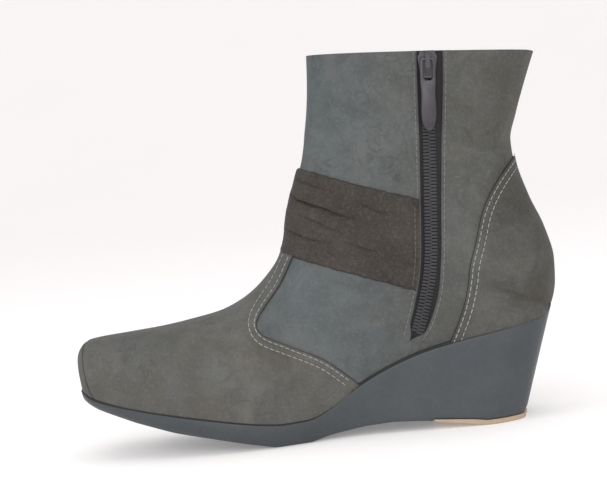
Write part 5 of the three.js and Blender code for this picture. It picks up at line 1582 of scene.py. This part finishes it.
def pullPiece():  # flat tab with a window and a bar across its top
    clearSelection()
    half, foot = hardware["pullWidth"] / 2, hardware["pullBar"] - hardware["pullLength"]
    depth = hardware["pullThickness"]
    outline = [(-half * 0.8, hardware["pullBar"]), (-half * 0.97, -1.2), (-half, -3), (-half, -12),
               (-half * 0.90, -16), (-half * 0.90, -20), (-half * 0.97, foot * 0.68)]
    outline += [(-half * 0.97 * math.cos(a), foot * 0.76 + (foot - foot * 0.76) * math.sin(a))
                for a in np.linspace(0, math.pi / 2, 8)]
    outline = outline + [(-x, y) for x, y in outline[-2::-1]]
    inner = half - 1.7
    window = [(-inner, -0.75), (-inner, -9.6), (-inner + 0.9, -11)]
    window += [(-x, y) for x, y in window[::-1]]
    bm = bmesh.new()
    outer = [bm.verts.new((x * mm, y * mm, -depth / 2 * mm)) for x, y in outline]
    hole = [bm.verts.new((x * mm, y * mm, -depth / 2 * mm)) for x, y in window]
    edges = [bm.edges.new(pair) for ring in (outer, hole) for pair in zip(ring, ring[1:] + ring[:1])]
    bmesh.ops.triangle_fill(bm, edges=edges, use_beauty=True)
    mesh = bpy.data.meshes.new("zip_pull_tab")
    bm.to_mesh(mesh)
    bm.free()
    piece = bpy.data.objects.new("zip_pull_tab", mesh)
    bpy.context.scene.collection.objects.link(piece)
    piece.select_set(True)
    bpy.context.view_layer.objects.active = piece
    bpy.ops.object.mode_set(mode="EDIT")
    bpy.ops.mesh.select_all(action="SELECT")
    bpy.ops.mesh.dissolve_limited(angle_limit=math.radians(1))
    bpy.ops.mesh.select_all(action="SELECT")
    bpy.ops.mesh.extrude_region_move(TRANSFORM_OT_translate={"value": (0, 0, depth * mm)})
    bpy.ops.mesh.select_all(action="SELECT")
    bpy.ops.mesh.normals_make_consistent(inside=False)
    bpy.ops.object.mode_set(mode="OBJECT")
    finishedBevel(piece, 0.32)
    clearSelection()
    bpy.ops.mesh.primitive_cylinder_add(vertices=20, radius=hardware["pullBar"] * mm,
                                        depth=hardware["pullWidth"] * 0.62 * mm, rotation=(0, math.pi / 2, 0))
    bar = bpy.context.object
    finishedBevel(bar, 0.15)
    clearSelection()
    bar.select_set(True)
    piece.select_set(True)
    bpy.context.view_layer.objects.active = piece
    bpy.ops.object.join()
    bpy.ops.object.transform_apply(location=True, rotation=True, scale=True)
    bpy.ops.object.shade_smooth_by_angle(angle=math.radians(40))
    data = hardware["zip"]
    setInFrame(piece, data["origin"], data["x"], data["y"], data["z"])
    piece.data.materials.clear()
    piece.data.materials.append(finishes["darkMetal"])
    return finishPiece(piece, "pull", "dark_metal", "zip_pull")


pullPiece()
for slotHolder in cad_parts["zip_slider"].material_slots:
    slotHolder.material = finishes["darkMetal"]
print("metal done")


# Floor, backdrop, light and camera
studio = {"centre": (-0.004, 0.0, 0.100), "lit": (0, 0, 0.08), "distance": 0.92, "azimuth": -1.5,
          "elevation": 4.0, "roll": -5.8, "lens": 101.0, "floorSize": 6.0, "coveSteps": 14,
          "coveStep": 0.22, "wall": 2.5}


def floorAndBackdrop():
    bpy.ops.mesh.primitive_plane_add(size=studio["floorSize"], location=(0, 0.6, 0))
    floor = bpy.context.object
    floor.name = "studio_floor"
    bpy.ops.object.mode_set(mode="EDIT")
    bpy.ops.mesh.select_mode(type="EDGE")
    bm = bmesh.from_edit_mesh(floor.data)
    bpy.ops.mesh.select_all(action="DESELECT")
    for edge in bm.edges:
        if all(v.co.y > studio["floorSize"] / 2 - 0.01 for v in edge.verts):
            edge.select = True
    bmesh.update_edit_mesh(floor.data)
    for rise in np.radians(np.linspace(6, 84, studio["coveSteps"])):  # the paper turns up in a wide curve
        step = (0, studio["coveStep"] * math.cos(rise), studio["coveStep"] * math.sin(rise))
        bpy.ops.mesh.extrude_region_move(TRANSFORM_OT_translate={"value": step})
    bpy.ops.mesh.extrude_region_move(TRANSFORM_OT_translate={"value": (0, 0, studio["wall"])})
    bpy.ops.object.mode_set(mode="OBJECT")
    bpy.ops.object.shade_smooth()
    bpy.ops.object.transform_apply(location=True, rotation=True, scale=True)
    material = bpy.data.materials.new("paleStudioPaper")
    material.use_nodes = True
    tree = material.node_tree
    surface = tree.nodes["Principled BSDF"]
    place = tree.nodes.new("ShaderNodeTexCoord").outputs["Object"]
    tone = mixColour(tree, noiseNode(tree, place, 2.0), colour(252, 248, 247), colour(248, 243, 242))
    tree.links.new(tone, surface.inputs["Base Color"])
    surface.inputs["Roughness"].default_value = 0.9
    surface.inputs["Emission Color"].default_value = (1.0, 0.985, 0.98, 1.0)
    surface.inputs["Emission Strength"].default_value = 0.19
    floor.data.materials.append(material)


def softLight(name, place, power, size, tint):
    bpy.ops.object.light_add(type="AREA", location=place)
    lamp = bpy.context.object
    lamp.name = name
    lamp.data.energy = power
    lamp.data.shape = "RECTANGLE"
    lamp.data.size, lamp.data.size_y = size
    lamp.data.color = tint
    lamp.rotation_euler = (Vector(studio["lit"]) - Vector(place)).to_track_quat("-Z", "Y").to_euler()


floorAndBackdrop()
softLight("overhead", (-0.10, -0.30, 1.5), 4.0, (1.4, 1.2), (1.0, 0.985, 0.97))
softLight("front_fill", (0.10, -1.75, 0.62), 14.0, (1.6, 1.0), (0.97, 0.985, 1.0))
softLight("left_fill", (-1.3, -0.7, 0.7), 3.5, (0.9, 0.9), (0.93, 0.97, 1.0))
bpy.context.scene.view_settings.view_transform = "Standard"
world = bpy.data.worlds.new("paleRoom")
bpy.context.scene.world = world
world.use_nodes = True
world.node_tree.nodes["Background"].inputs["Color"].default_value = (0.98, 0.985, 1.0, 1)
world.node_tree.nodes["Background"].inputs["Strength"].default_value = 0.74

cameraData = bpy.data.cameras.new("photoCamera")
camera = bpy.data.objects.new("photoCamera", cameraData)
bpy.context.scene.collection.objects.link(camera)
bpy.context.scene.camera = camera
cameraData.lens = studio["lens"]
cameraData.clip_start = 0.02
centre = Vector(studio["centre"])
azimuth, elevation = math.radians(studio["azimuth"]), math.radians(studio["elevation"])
sight = Vector((math.sin(azimuth) * math.cos(elevation), math.cos(azimuth) * math.cos(elevation),
                -math.sin(elevation)))
camera.location = centre - sight * studio["distance"]
turn = sight.to_track_quat("-Z", "Y").to_matrix().to_4x4()
turn = turn @ Matrix.Rotation(math.radians(studio["roll"]), 4, "Z")
camera.matrix_world = Matrix.Translation(camera.location) @ turn
print("studio ready")
